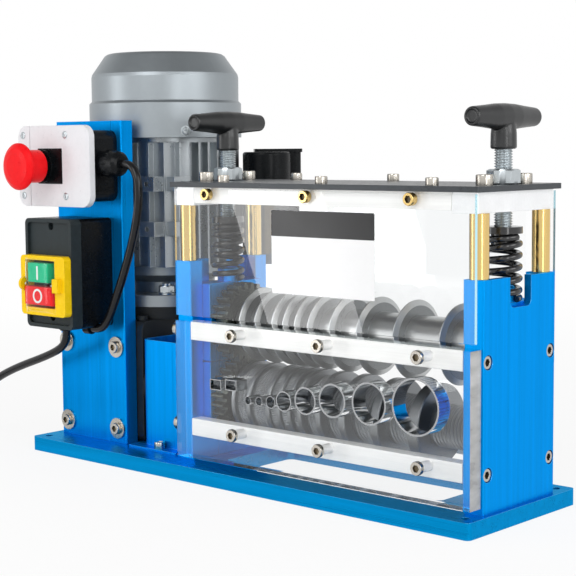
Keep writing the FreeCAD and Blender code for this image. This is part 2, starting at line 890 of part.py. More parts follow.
def make_gearbox():
    """Worm gearbox: square case, worm barrel, output boss and top flange."""
    case = box(gearbox_left, gearbox_right, gearbox_face, motor_y, top_z, gearbox_top)
    case = round_edges(case, gearbox_edge, X, lambda p: p.y < motor_y - 1)
    barrel = rod(worm_radius, (motor_x, motor_y, top_z + 4), (motor_x, motor_y, gearbox_top))
    rib = box(motor_x - 4, motor_x + 4, motor_y, motor_y + worm_radius + 3, top_z, gearbox_top - 12)
    boss = tube(output_boss, output_radius + running_fit,
                (gearbox_right - 20, head_y, lower_axis_z),
                (gearbox_right + output_boss_out, head_y, lower_axis_z))
    case = case.cut(rod(output_radius + running_fit, (gearbox_right - 20, head_y, lower_axis_z),
                        (gearbox_right + 1, head_y, lower_axis_z)))
    cap = rod(output_boss - 2, (gearbox_left - 4, head_y, lower_axis_z),
              (gearbox_left + 1, head_y, lower_axis_z))
    case = join([case, barrel, rib, boss, cap])
    for seat, way in tower_screws():
        case = case.cut(screw_hole(seat, way, m8_radius, tower_screw_reach))
    x = gearbox_right - plug_inset
    y = gearbox_face + plug_inset
    plug = rod(plug_radius, (x, y, gearbox_top), (x, y, gearbox_top + plug_high_out))
    flange = rod(flange_radius, (motor_x, motor_y, gearbox_top), (motor_x, motor_y, drive_top))
    save("gearbox_housing", case, plug)
    save("gearbox_flange", flange)


def make_motor():
    """Flange, end shield, finned body with foot lugs, cowl and terminal box."""
    flange = rod(flange_radius, (motor_x, motor_y, drive_top), (motor_x, motor_y, flange_top))
    save("motor_flange", flange.makeChamfer(1.0, [e for e in flange.Edges if e.CenterOfMass.z > flange_top - 1
                                                   and isinstance(e.Curve, Part.Circle)]))
    shield = turned([(0, 0), (shield_foot, 0), (shield_foot, shield_foot_height),
                     (shield_rim, shield_rim_height), (shield_rim, shield_height), (0, shield_height)],
                    (motor_x, motor_y, flange_top), Z)
    webs = [turn(box(motor_x + shield_foot - 2, motor_x + shield_web, motor_y - shield_web_thick / 2,
                     motor_y + shield_web_thick / 2, flange_top, flange_top + shield_web_height),
                 90 * i, (motor_x, motor_y, 0), Z) for i in range(4)]
    save("motor_end_shield", join([shield] + webs))

    body = rod(motor_core, (motor_x, motor_y, shield_top), (motor_x, motor_y, body_top))
    pieces = []
    for side in range(4):
        for piece in motor_side(side):
            pieces.append(turn(piece, 90 * side, (motor_x, motor_y, 0), Z))
    save("motor_body", join([body] + pieces))

    edge = cowl_height - cowl_chamfer
    cowl = turned([(0, 0), (cowl_radius, 0), (cowl_radius, cowl_step),
                   (cowl_step_radius, cowl_step + cowl_step_blend), (cowl_step_radius, edge - 1.5),
                   (cowl_step_radius - 0.7, edge + 1.5), (cowl_top_radius + 1.6, cowl_height - 2.2),
                   (cowl_top_radius - 0.8, cowl_height - 0.6), (cowl_top_radius - 3, cowl_height),
                   (0, cowl_height)], (motor_x, motor_y, body_top), Z)
    slots = []
    for i in range(vent_count):
        inner = vent_inner if i % 2 else vent_inner + vent_stagger
        slot = box(motor_x + inner, motor_x + vent_outer, motor_y - vent_width / 2,
                   motor_y + vent_width / 2, cowl_top - vent_depth, cowl_top + 1)
        slots.append(turn(slot, i * 360 / vent_count, (motor_x, motor_y, 0), Z))
    save("fan_cowl", cowl.cut(Part.makeCompound(slots)))
    make_terminal_box()


def motor_side(side):
    """Fins, corner column and foot lugs of the side that faces +X."""
    def upright(x0, x1, y0, y1, low, high):
        """A block given from the motor's axis."""
        return box(motor_x + x0, motor_x + x1, motor_y + y0, motor_y + y1, low, high)

    pieces = [upright(pad_near, pad_far, pad_near, pad_far, shield_top, fin_top)]
    for offset in fin_offsets:
        pieces.append(upright(motor_core - 6, fin_reach, offset - fin_thick / 2, offset + fin_thick / 2,
                              shield_top, fin_top))
    for flip in (-1, 1):
        near, far = sorted((flip * pad_near, flip * (pad_near + fin_thick)))
        pieces.append(upright(pad_near, pad_fin_reach, near, far, shield_top, fin_top))
        # The terminal box takes the place of two lugs
        if (side == 0 and flip > 0) or (side == 1 and flip < 0):
            continue
        for level in lug_levels:
            low = shield_top + level
            near, far = sorted((flip * lug_near, flip * lug_far))
            lug = upright(pad_near + 5, lug_reach, near, far, low, low + lug_height)
            middle = low + lug_height / 2
            y = motor_y + (near + far) / 2
            pieces.append(lug.cut(rod(lug_hole, (motor_x + lug_reach - lug_hole_deep, y, middle),
                                      (motor_x + lug_reach + 1, y, middle))))
    return pieces


def make_terminal_box():
    """Capacitor drum and terminal box on a neck at the motor's rear right."""
    drum = rod(drum_radius, (motor_x + drum_reach, motor_y + drum_side, terminal_low),
               (motor_x + drum_reach, motor_y + drum_side, drum_high))
    drum = drum.makeFillet(drum_edge, [e for e in drum.Edges if e.CenterOfMass.z > drum_high - 1
                                       and isinstance(e.Curve, Part.Circle)])
    case = box(motor_x + terminal_near, motor_x + terminal_far, motor_y + terminal_side_near,
               motor_y + terminal_side_far, terminal_low, terminal_high)
    case = round_edges(case, terminal_corner, Z)
    lap = terminal_lid_lap
    lid = box(motor_x + terminal_near - lap, motor_x + terminal_far + lap,
              motor_y + terminal_side_near - lap, motor_y + terminal_side_far + lap,
              terminal_high, terminal_high + terminal_lid)
    lid = round_edges(lid, terminal_corner + lap, Z)
    neck = box(motor_x + terminal_neck_near, motor_x + terminal_near + 2, motor_y - terminal_neck / 2,
               motor_y + terminal_neck / 2, terminal_neck_low, terminal_neck_high)
    case = join([drum, case, lid, neck])
    case = turn(case, terminal_angle, (motor_x, motor_y, 0), Z)
    save("terminal_box", case.cut(Part.read("parts/motor_body.step")))


def make_tower():
    """Tall plate that carries the two switches."""
    plate = box(tower_left, tower_right, tower_face, gearbox_face, top_z, top_z + tower_height)
    plate = round_edges(plate, tower_edge, Z)
    for seat, way in tower_screws():
        plate = plate.cut(screw_hole(seat, way, m8_radius, tower_screw_reach))
    save("tower_plate", plate)


def make_emergency_stop():
    """Box, lid, knob collar, stem and mushroom head."""
    case = box(stop_x0, stop_x1, stop_front, tower_face, stop_low, stop_high)
    case = round_edges(case, stop_corner, Y)
    x = tower_left + knob_x
    deep = stem_behind + knob_travel + 2
    hole = rod(stem_radius + running_fit, (x, lid_front - 1, knob_z), (x, stop_front + deep, knob_z))
    save("estop_box", case.cut(hole))
    lid = box(stop_x0 - lid_lap, stop_x1 + lid_lap, lid_front, stop_front,
              stop_low - lid_lap, stop_high + lid_lap)
    lid = round_edges(lid, lid_corner, Y)
    groove = box(stop_x0 + lid_groove_x, stop_x0 + lid_groove_x + 0.8, lid_front - 1, lid_front + 0.8,
                 stop_low - lid_lap - 1, stop_high + lid_lap + 1)
    save("estop_lid", lid.cut(groove).cut(hole))
    collar_y = lid_front - knob_collar_thick
    collar = tube(knob_collar, stem_radius + running_fit, (x, lid_front, knob_z), (x, collar_y, knob_z))
    save("estop_collar", collar)
    back = collar_y - knob_travel - 0.3
    stem = turned([(0, 0), (stem_tip, 0), (stem_tip, stem_tip_length), (stem_radius, stem_tip_length),
                   (stem_radius, stop_front + stem_behind - back + stem_tip_length),
                   (0, stop_front + stem_behind - back + stem_tip_length)],
                  (x, back - stem_tip_length, knob_z), Y)
    save("estop_stem", stem)
    front = knob_neck_length + knob_flare + knob_rim + knob_dome
    head = turned([(stem_tip + running_fit, 0), (knob_neck, 0), (knob_neck, knob_neck_length),
                   (knob_radius, knob_neck_length + knob_flare),
                   (knob_radius, knob_neck_length + knob_flare + knob_rim),
                   (knob_radius - 1.4, front - 3.4), (knob_radius - 4.6, front - 1.6),
                   (knob_radius - 10, front - 0.5), (0, front), (0, stem_tip_length + 0.3),
                   (stem_tip + running_fit, stem_tip_length + 0.3)], (x, back, knob_z), Y * -1)
    save("estop_head", head)


def make_switch():
    """Start and stop switch: box, cover, yellow bezel and two buttons."""
    case = box(switch_x0, switch_x1, switch_front, tower_face, switch_low, switch_high)
    case = round_edges(case, switch_corner, Y)
    link_y = tower_face - link_back
    end = switch_x0 + link_gland_end
    groove = rod(link_gland, (end - link_gland_length, link_y, link_z), (switch_x1 + 1, link_y, link_z))
    save("switch_box", case.cut(groove))
    cover = box(switch_x0, switch_x1, cover_front, switch_front, switch_low, switch_high)
    cover = round_edges(cover, switch_corner, Y)
    face = cover_front + cover_recess
    rim = cover_rim
    recess = box(switch_x0 + rim, switch_x1 - rim, cover_front - 1, face, switch_low + rim, switch_high - rim)
    cover = cover.cut(round_edges(recess, switch_corner - rim / 2, Y))
    pocket_back = bezel_front + button_back + button_out + 5
    for z in (bezel_low - 2, switch_high - 6.6):
        cover = cover.cut(rod(cover_hole, (switch_x0 + cover_hole_x, cover_front - 1, z),
                              (switch_x0 + cover_hole_x, face + 4, z)))
    bezel = box(switch_x0 + bezel_x, switch_x0 + bezel_x + bezel_width, bezel_front, cover_front,
                bezel_low, bezel_high)
    bezel = round_edges(bezel, bezel_corner, Y)
    foot = box(switch_x0 + rim, switch_x0 + bezel_x + bezel_width - rim, cover_front, face, bezel_low, bezel_high)
    ear = rod(ear_radius, (switch_x0 + ear_x, bezel_front, hinge_z),
              (switch_x0 + ear_x + ear_thick, bezel_front, hinge_z))
    lug = box(switch_x0 + lug_x, switch_x0 + lug_x + lug_wide, bezel_front - lug_out, bezel_front + 2,
              hinge_z - lug_half_high, hinge_z + lug_half_high)
    lug = round_edges(lug, 1.0, X, lambda p: p.y < bezel_front)
    bezel = join([bezel, foot, ear, lug])
    bezel = bezel.cut(box(switch_x0 + bezel_window_x, switch_x0 + bezel_window_x + bezel_window,
                          bezel_front, face + 1, bezel_window_low, bezel_window_high))
    buttons = {
        "start_button": (start_x, start_width, start_low, start_high),
        "stop_button": (stop_x, stop_button_width, stop_button_low, stop_button_high),
    }
    for node, (x, wide, low, high) in buttons.items():
        x0 = switch_x0 + x
        button = box(x0, x0 + wide, bezel_front - button_out, pocket_back - button_out - 0.5, low, high)
        front = [e for e in button.Edges if e.CenterOfMass.y < bezel_front - button_out + 0.1]
        save(node, button.makeFillet(button_edge, front))
        gap = button_gap
        cover = cover.cut(box(x0 - gap, x0 + wide + gap, cover_front - 1, pocket_back, low - gap, high + gap))
    save("switch_cover", cover)
    save("switch_bezel", bezel)


def make_head():
    """Pillars, bridges, cover bars, top plate and clear covers."""
    pillars = []
    reach = side_depth / 2 - (side_depth - channel_width) / 4
    for x in (head_left + pillar_inset, head_right - pillar_inset):
        for y in (head_y - reach, head_y + reach):
            pillars.append(rod(pillar_radius, (x, y, side_top), (x, y, bridge_low)))
    save("pillars", *pillars)

    bridges = []
    plate = box(head_left - plate_lap, head_right + plate_lap, head_y - plate_depth / 2,
                head_y + plate_depth / 2, plate_low, plate_top)
    plate = round_edges(plate, plate_corner, Z)
    for side, press in ((-1, press_left), (1, press_right)):
        x = bridge_middle(side)
        bridge = box(x - bridge_width / 2, x + bridge_width / 2, head_y - bridge_depth / 2,
                     head_y + bridge_depth / 2, bridge_low, plate_low)
        bridge = round_edges(bridge, 1.0, Z)
        thread = rod(press_radius + running_fit, (press, head_y, bridge_low - 1), (press, head_y, plate_top + 1))
        bridge = bridge.cut(thread)
        plate = plate.cut(thread)
        for seat, way in bridge_screws():
            bridge = bridge.cut(screw_hole(seat, way, m8_radius, plate_screw_reach))
        bridges.append(bridge)
    bars = []
    half = bridge_depth / 2
    x0 = bridge_middle(-1) + bridge_width / 2
    x1 = bridge_middle(1) - bridge_width / 2
    for y in (head_y - half, head_y + half - cover_bar_depth):
        bar = box(x0, x1, y, y + cover_bar_depth, plate_low - cover_bar_height, plate_low)
        for seat, way in plate_screws():
            bar = bar.cut(screw_hole(seat, way, m6_radius, plate_screw_reach))
        for seat, way in cover_screws():
            bar = bar.cut(screw_hole(seat, way, brass_radius, cover_thick + 3))
        bars.append(bar)
    save("bridge_blocks", *bridges)
    save("cover_bars", *bars)
    for seat, way in bridge_screws():
        plate = plate.cut(screw_hole(seat, way, m8_radius, plate_screw_reach))
    for seat, way in plate_screws():
        plate = plate.cut(screw_hole(seat, way, m6_radius, plate_screw_reach))
    save("top_plate", plate)

    x0 = head_left + cover_inset
    x1 = head_right - cover_inset
    high = plate_low - cover_gap_top
    front = box(x0, x1, head_y - half - cover_thick, head_y - half, front_cover_low, high)
    rear = box(x0, x1, head_y + half, head_y + half + cover_thick, rear_cover_low, high)
    for seat, way in cover_screws():
        hole = screw_hole(seat, way, brass_radius, cover_thick + 3)
        front = front.cut(hole)
        rear = rear.cut(hole)
    save("front_cover", front)
    save("rear_cover", rear)


def make_screws():
    """Socket screws, washers and lock nuts, one node for each kind."""
    m8 = []
    for seats, reach in ((side_screws(), side_screw_reach), (guide_screws(), guide_screw_reach),
                         (bridge_screws(), plate_screw_reach)):
        for seat, way in seats:
            m8.append(cap_screw(seat, way, m8_radius, m8_head, m8_head_high, reach))
    washers = []
    for seat, way in tower_screws():
        top = V(*seat) - way * washer_thick
        m8.append(cap_screw(top, way, m8_radius, m8_head, m8_head_high, tower_screw_reach + washer_thick))
        washers.append(tube(washer_radius, m8_radius + bolt_fit, seat, top))
    save("m8_cap_screws", *m8)
    save("m8_washers", *washers)
    m6 = [cap_screw(seat, way, m6_radius, m6_head, m6_head_high, plate_screw_reach)
          for seat, way in plate_screws()]
    seat, way = guard_screw()
    m6.append(cap_screw(seat, way, m6_radius, m6_head, m6_head_high, plate_screw_reach - 3))
    save("m6_cap_screws", *m6)
    buttons = []
    for seat, way in cover_screws():
        head = turned([(0, 0), (brass_head, 0), (brass_head, brass_head_high - 0.5),
                       (brass_head - 0.5, brass_head_high), (0, brass_head_high)], seat, way * -1)
        buttons.append(head.fuse(rod(brass_radius, seat, V(*seat) + way * (cover_thick + 3))))
    save("cover_screws", *buttons)
    nuts = []
    corner = nut_flats / math.sqrt(3)
    for x in (press_left, press_right):
        points = [(x + corner * math.cos(math.radians(60 * i)), head_y + corner * math.sin(math.radians(60 * i)),
                   plate_top) for i in range(6)]
        nut = prism(points, Z * nut_height)
        cone = turned([(0, 0), (corner - 0.8, 0), (corner + 0.6, 1.2), (corner + 0.6, nut_height - 1.2),
                       (corner - 0.8, nut_height), (0, nut_height)], (x, head_y, plate_top), Z)
        hole = rod(press_radius + running_fit, (x, head_y, plate_top - 1), (x, head_y, plate_top + nut_height + 1))
        nuts.append(nut.common(cone).cut(hole))
    save("lock_nuts", *nuts)


def arcs(p0, t0, p1, t1):
    """Two tangent arcs from one point and direction to the next."""
    v = p1 - p0
    s = t0 + t1
    t = t0.dot(t1)
    if 1 - t < 1e-9:
        return [Part.LineSegment(p0, p1).toShape()]
    d = (-v.dot(s) + math.sqrt(v.dot(s) ** 2 + 2 * (1 - t) * v.dot(v))) / (2 * (1 - t))
    q0 = p0 + t0 * d
    q1 = p1 - t1 * d
    joint = (q0 + q1) * 0.5
    return [corner_arc(p0, q0, joint), corner_arc(joint, q1, p1)]


def corner_arc(start, corner, end):
    """The arc that leaves and meets two equal sides of a corner."""
    middle = (start + end) * 0.5
    rise = corner - middle
    half = (end - start).Length / 2
    bend = half * math.tan(math.atan2(rise.Length, half) / 2)
    return Part.Arc(start, middle + rise * (bend / rise.Length), end).toShape()


def pipe(edges, radius, start, way):
    """A round solid along a chain of edges."""
    ring = Part.Wire([Part.makeCircle(radius, start, way)])
    return Part.Wire(edges).makePipeShell([ring], True, False)


def wound(points, ways, radius, name, steps):
    """A wound tube through points with their directions, and its least gap."""
    edges = []
    for i in range(len(points) - 1):
        edges += arcs(points[i], ways[i], points[i + 1], ways[i + 1])
    samples = []
    for edge in edges:
        first, last = edge.ParameterRange
        samples += [edge.valueAt(first + (last - first) * k / 6) for k in range(6)]
    least = min((a - b).Length for i, a in enumerate(samples) for b in samples[i + steps:])
    print(name, "least gap %.2f mm" % (least - 2 * radius))
    solid = pipe(edges, radius, points[0], ways[0])
    length = sum(edge.Length for edge in edges)
    print(name, "length %.0f mm, volume ratio %.4f" % (length, solid.Volume / (math.pi * radius ** 2 * length)))
    return solid


def spring(x, low, high):
    """A press spring with closed ends, wound right-handed."""
    quarters = int(round(spring_turns * 4))
    closed = spring_end_pitch / 4
    free = (high - low - spring_wire - 8 * closed) / (quarters - 8)
    rises = [closed] * 4 + [free] * (quarters - 8) + [closed] * 4
    z = low + spring_wire / 2
    points = []
    ways = []
    quarter = spring_radius * math.pi / 2
    for i in range(quarters + 1):
        angle = i * math.pi / 2
        points.append(V(x + spring_radius * math.cos(angle), head_y + spring_radius * math.sin(angle), z))
        before = rises[max(i - 1, 0)]
        after = rises[min(i, quarters - 1)]
        way = V(-math.sin(angle), math.cos(angle), (before + after) / 2 / quarter)
        ways.append(way.normalize())
        z += after
    return wound(points, ways, spring_wire / 2, "spring", 36)


def make_press(name, x):
    """Spring, collar, screw and T-handle over one block."""
    save("spring_" + name, spring(x, upper_block_top, collar_low))
    collar = turned([(0, -seat_height), (seat_radius - 1.5, -seat_height), (seat_radius, -seat_height + 1.5),
                     (seat_radius, 0), (collar_radius, 0), (collar_radius, collar_thick),
                     (press_radius + running_fit, collar_thick),
                     (press_radius + running_fit, collar_thick - collar_pocket),
                     (0, collar_thick - collar_pocket)], (x, head_y, collar_low), Z)
    save("collar_" + name, collar)
    stem_low = handle_z - handle_stem
    low = collar_top - collar_pocket + 0.3
    screw = rod(press_radius, (x, head_y, low), (x, head_y, stem_low + handle_bore))
    save("press_screw_" + name, screw)
    half = handle_length / 2
    rim = handle_recess
    bar = turned([(0, 1.5 - half), (rim, 1.5 - half), (rim, -half), (handle_end - 1, -half),
                  (handle_end, 1.5 - half), (handle_end + 1.4, -half * 0.55), (handle_radius - 0.1, -7),
                  (handle_radius, 0), (handle_radius - 0.1, 7), (handle_end + 1.4, half * 0.55),
                  (handle_end, half - 1.5), (handle_end - 1, half), (rim, half), (rim, half - 1.5),
                  (0, half - 1.5)], (x, head_y, handle_z), Y)
    stem = turned([(0, 0), (handle_radius - 1.5, 0), (handle_radius, 1.5), (handle_radius, handle_stem),
                   (0, handle_stem)], (x, head_y, stem_low), Z)
    bore = rod(press_radius, (x, head_y, stem_low - 1), (x, head_y, stem_low + handle_bore))
    save("t_handle_" + name, join([bar, stem]).cut(bore))


def cable(points, radius, name):
    """A tube of straight runs joined by arcs; prints each arc's radius."""
    points = [V(*p) for p in points]
    runs = [b - a for a, b in zip(points, points[1:])]
    edges = []
    radii = []
    start = points[0]
    for i in range(1, len(points) - 1):
        before = V(runs[i - 1]).normalize()
        after = V(runs[i]).normalize()
        angle = before.getAngle(after)
        cut = 0.45 * min(runs[i - 1].Length, runs[i].Length)
        radii.append(cut / math.tan(angle / 2))
        enter = points[i] - before * cut
        leave = points[i] + after * cut
        edges.append(Part.LineSegment(start, enter).toShape())
        edges.append(corner_arc(enter, points[i], leave))
        start = leave
    edges.append(Part.LineSegment(start, points[-1]).toShape())
    solid = pipe(edges, radius, points[0], V(runs[0]).normalize())
    length = sum(edge.Length for edge in edges)
    print(name, "radii", " ".join("%.0f" % r for r in radii))
    print(name, "length %.0f mm, volume ratio %.4f" % (length, solid.Volume / (math.pi * radius ** 2 * length)))
    return solid


def make_cables():
    """Glands, the cable between the switches, and the mains lead."""
    link_y = tower_face - link_back
    gland_x = stop_x1 + gland_length
    end = switch_x0 + link_gland_end
    start = stop_x1 + lid_lap + 0.4
    r = gland_radius
    gland = turned([(0, 0), (r - 1, 0), (r - 1, 6.5), (r, 7.5), (r, start - stop_x1 + 9),
                    (r - 1.2, gland_length - 4), (r - 3.2, gland_length - 1.2),
                    (r - 5.0, gland_length), (0, gland_length)],
                   (stop_x1, link_y, gland_z), X)
    link_socket = rod(link_gland, (end - link_gland_length, link_y, link_z), (end, link_y, link_z))
    mains_y = tower_face - mains_back
    x = switch_x0 + mains_x
    mains_low = switch_low - mains_gland_length
    mains_socket = turned([(0, 0), (mains_gland - 1, 0), (mains_gland, 1), (mains_gland, mains_gland_length),
                           (0, mains_gland_length)], (x, mains_y, mains_low), Z)
    save("cable_glands", gland, link_socket, mains_socket)

    # The link leaves sideways, sags down and turns into the switch's foot
    x0 = gland_x
    route = [(x0 + dx, link_y, z) for dx, z in link_route]
    route += [(end + link_entry, link_y, link_z), (end, link_y, link_z)]
    save("link_cable", cable(route, cable_radius, "link_cable"))

    # The mains lead hangs from the switch, falls to the bench and is coiled
    route = [(x + dx, mains_y, z) for dx, z in mains_route]
    save("mains_cable", cable(route, cable_radius, "mains_cable"))
    end = route[-1]
    centre = V(end[0] - coil_tail, mains_y - coil_radius, cable_radius)
    points = [V(*end)]
    ways = [X * -1]
    half = coil_turns / 2
    count = int(round(coil_turns * 4))
    for i in range(count + 1):
        t = i / 4
        radius = coil_radius - coil_step * min(t, coil_turns - t)
        climb = min(max((t - half) / 0.5 + 0.5, 0), 1)
        angle = math.pi / 2 + 2 * math.pi * t
        points.append(centre + V(radius * math.cos(angle), radius * math.sin(angle), coil_step * climb))
        slope = -coil_step / (2 * math.pi) * (0 if i in (0, count) else 1 if t < half - 0.01 else -1)
        if abs(t - half) < 0.01:
            slope = 0
        rise = coil_step * 2 / (2 * math.pi) if abs(t - half) < 0.2 else 0
        way = V(-radius * math.sin(angle) + slope * math.cos(angle),
                radius * math.cos(angle) + slope * math.sin(angle), rise)
        ways.append(way.normalize())
    last = points[-1] + ways[-1] * coil_exit
    points.append(last)
    ways.append(ways[-1])
    save("mains_coil", wound(points, ways, cable_radius, "mains_coil", 40))
    make_plug(last, ways[-1])


def make_plug(start, way):
    """A moulded three-pin plug at the end of the mains lead."""
    neck = turned([(0, 0), (cable_radius + 1.2, 0), (cable_radius + 3.2, plug_neck), (0, plug_neck)], start, way)
    y = start.y
    z = start.z
    x0 = start.x + plug_neck * 0.8
    x1 = start.x + plug_length
    body = box(x0, x1, y - plug_wide / 2, y + plug_wide / 2, z - plug_high / 2, z + plug_high / 2)
    body = round_edges(body, plug_corner, X)
    face = x1 + plug_pin
    blades = [box(x1 - 1, face, y + dy - 0.8, y + dy + 0.8, z - 4.5, z + 2.0) for dy in (-6.35, 6.35)]
    pin = rod(2.4, (x1 - 1, y, z + 6.6), (face + 2, y, z + 6.6))
    save("mains_plug", join([neck, body] + blades + [pin]))


os.makedirs("parts", exist_ok=True)
make_base()
make_side_plate("side_plate_left", head_left, -1)
make_side_plate("side_plate_right", head_right, 1)
make_cross_bars()
make_guide()
make_blocks()
make_gears()
make_upper_roller()
make_lower_roller()
make_coupling()
make_guard()
make_gearbox()
make_motor()
make_tower()
make_emergency_stop()
make_switch()
make_head()
make_screws()
make_press("left", press_left)
make_press("right", press_right)
make_cables()
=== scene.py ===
"""Looks for the electric wire stripping machine.

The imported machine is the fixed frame, in metres: X runs along the rollers,
-Y is the side where the cable goes in, and Z is up from the bench.  This
file adds the camera, the cords, the finishes and the small pieces that the
frame doesn't hold.
"""

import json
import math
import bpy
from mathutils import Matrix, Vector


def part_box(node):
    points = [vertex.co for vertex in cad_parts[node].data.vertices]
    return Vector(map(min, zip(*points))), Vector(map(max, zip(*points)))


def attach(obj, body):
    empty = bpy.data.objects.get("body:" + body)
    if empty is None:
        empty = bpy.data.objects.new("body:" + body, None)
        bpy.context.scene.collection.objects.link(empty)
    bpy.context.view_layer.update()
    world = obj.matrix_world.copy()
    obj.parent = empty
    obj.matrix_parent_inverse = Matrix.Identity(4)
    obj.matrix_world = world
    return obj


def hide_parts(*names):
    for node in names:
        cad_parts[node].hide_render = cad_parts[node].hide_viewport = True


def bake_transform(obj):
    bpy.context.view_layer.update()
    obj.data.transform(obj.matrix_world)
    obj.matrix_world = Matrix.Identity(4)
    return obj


bl_info = {
    "name": "Wire stripping machine",
    "version": (1, 0, 0),
    "blender": (4, 5, 0),
    "location": "View3D > Sidebar > Machine",
    "description": "Finishes, cords and small pieces of an electric wire stripping machine",
    "category": "Add Mesh",
}

import bmesh
import bpy
from bpy.props import FloatProperty, FloatVectorProperty, IntProperty, PointerProperty
from mathutils import Matrix, Vector

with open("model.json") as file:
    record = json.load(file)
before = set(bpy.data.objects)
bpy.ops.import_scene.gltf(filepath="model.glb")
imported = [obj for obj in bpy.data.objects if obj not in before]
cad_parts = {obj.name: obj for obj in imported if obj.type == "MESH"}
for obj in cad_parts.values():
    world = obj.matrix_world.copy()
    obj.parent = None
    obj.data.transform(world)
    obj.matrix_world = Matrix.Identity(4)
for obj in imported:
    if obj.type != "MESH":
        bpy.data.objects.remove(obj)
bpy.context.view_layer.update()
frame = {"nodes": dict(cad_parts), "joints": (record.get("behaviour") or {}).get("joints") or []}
nodes = frame["nodes"]
materials = {}
groups = {}

MM = 0.001
X = Vector((1, 0, 0))
Y = Vector((0, 1, 0))
Z = Vector((0, 0, 1))
sides = ("left", "right")


def low(node):
    """Lowest corner of a node of the frame."""
    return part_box(node)[0]


def high(node):
    """Highest corner of a node of the frame."""
    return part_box(node)[1]


def middle(node):
    """Middle of a node of the frame."""
    return (low(node) + high(node)) / 2


def joint_place(name):
    """The point on a hinge of the frame."""
    return Vector(next(j for j in frame["joints"] if j["name"] == name)["pos_m"])


# Meshes from rings of points

def around(count, at, way, side, radius_at, phase=0.0):
    """Points about a line, each at the radius that its angle has."""
    other = way.cross(side)
    angles = [2 * math.pi * i / count + phase for i in range(count)]
    return [at + radius_at(a) * (math.cos(a) * side + math.sin(a) * other) for a in angles]


def ring(count, radius, at, way, side, phase=0.0):
    """Points of a circle about a line."""
    return around(count, at, way, side, lambda angle: radius, phase)


def hexagon(count, flats, at, way, side):
    """Points round a hexagon, as many as a circle of the same loft has."""
    def radius(angle):
        """Distance to the nearest flat at that angle."""
        return flats / 2 / math.cos((angle + math.pi / 6) % (math.pi / 3) - math.pi / 6)

    return around(count, at, way, side, radius)


def rounded_outline(x0, x1, z0, z1, radius, y, steps=6):
    """Points round a rectangle with round corners, facing the feed side."""
    points = []
    corners = [(x1 - radius, z0 + radius, -90), (x1 - radius, z1 - radius, 0),
               (x0 + radius, z1 - radius, 90), (x0 + radius, z0 + radius, 180)]
    for x, z, start in corners:
        for i in range(steps + 1):
            angle = math.radians(start + 90 * i / steps)
            points.append(Vector((x + radius * math.cos(angle), y, z + radius * math.sin(angle))))
    return points


def soft_square(count, half_y, half_z, at, power):
    """Points of a rounded rectangle across X."""
    points = []
    for i in range(count):
        angle = 2 * math.pi * i / count
        c, s = math.cos(angle), math.sin(angle)
        points.append(at + Vector((0, half_y * math.copysign(abs(c) ** (2 / power), c),
                                   half_z * math.copysign(abs(s) ** (2 / power), s))))
    return points


def loft(mesh, rings, second_from=None, closed=False):
    """Join rings of equal count; from second_from on they have the second finish.

    A closed loft's last ring joins its first; any other has two end faces.
    """
    rows = [[mesh.verts.new(p) for p in points] for points in rings]
    last = len(rows) - 1
    second_from = last + 1 if second_from is None else second_from
    for row in range(last + 1 if closed else last):
        here, there = rows[row], rows[(row + 1) % len(rows)]
        for i in range(len(here)):
            j = (i + 1) % len(here)
            face = mesh.faces.new((here[i], here[j], there[j], there[i]))
            face.material_index = 1 if row >= second_from else 0
    if not closed:
        mesh.faces.new(list(reversed(rows[0])))
        mesh.faces.new(rows[-1]).material_index = 1 if last >= second_from else 0


def turned(mesh, profile, at, way, side, count=32, unit=MM):
    """A turned form from (radius, height) pairs, which are in millimetres."""
    loft(mesh, [ring(count, radius * unit, at + way * height * unit, way, side)
                for radius, height in profile])


def slab(mesh, x0, x1, z0, z1, front, back, radius, edge=0.05 * MM):
    """A thin plate that faces the feed side, with softened front edges."""
    loft(mesh, [rounded_outline(x0, x1, z0, z1, radius, back),
                rounded_outline(x0, x1, z0, z1, radius, front + edge),
                rounded_outline(x0 + edge, x1 - edge, z0 + edge, z1 - edge, radius - edge, front)])


def finish_mesh(name, mesh, smooth_angle=40):
    """A new object from a bmesh, with smooth faces where its edges are soft."""
    bmesh.ops.recalc_face_normals(mesh, faces=mesh.faces)
    data = bpy.data.meshes.new(name)
    mesh.to_mesh(data)
    mesh.free()
    piece = bpy.data.objects.new(name, data)
    bpy.context.scene.collection.objects.link(piece)
    data.shade_smooth()
    data.set_sharp_from_angle(angle=math.radians(smooth_angle))
    return piece


def applied(piece):
    """The piece with its modifiers made part of its mesh."""
    graph = bpy.context.evaluated_depsgraph_get()
    data = bpy.data.meshes.new_from_object(piece.evaluated_get(graph))
    piece.modifiers.clear()
    piece.data = data
    data.name = piece.name
    data.shade_smooth()
    return piece


def dress(piece, body, finish, *stands_for, second=None):
    """Give a piece its body, material slot and finish, or two."""
    piece.data.materials.append(materials[finish])
    if second:
        piece.data.materials.append(materials[second])
    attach(piece, body)
    if stands_for:
        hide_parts(*stands_for)
    return piece


# Shader effects that several finishes share

def feed(tree, node, inputs):
    """Set the inputs of a shader node, or link those given as sockets."""
    for name, value in inputs.items():
        if isinstance(value, bpy.types.NodeSocket):
            tree.links.new(value, node.inputs[name])
        else:
            node.inputs[name].default_value = value


def put(tree, kind, label="", inputs=None, **settings):
    """A new shader node with some of its settings and inputs."""
    node = tree.nodes.new("ShaderNode" + kind)
    node.label = label
    for key, value in settings.items():
        setattr(node, key, value)
    feed(tree, node, inputs or {})
    return node


def work_out(tree, operation, *inputs, label=""):
    """The result of a sum on values or sockets."""
    return put(tree, "Math", label, dict(enumerate(inputs)), operation=operation).outputs[0]


def vector_sum(tree, operation, *inputs, label="", result=0):
    """The result of a sum on vectors."""
    node = put(tree, "VectorMath", label, dict(enumerate(inputs)), operation=operation)
    return node.outputs[result]


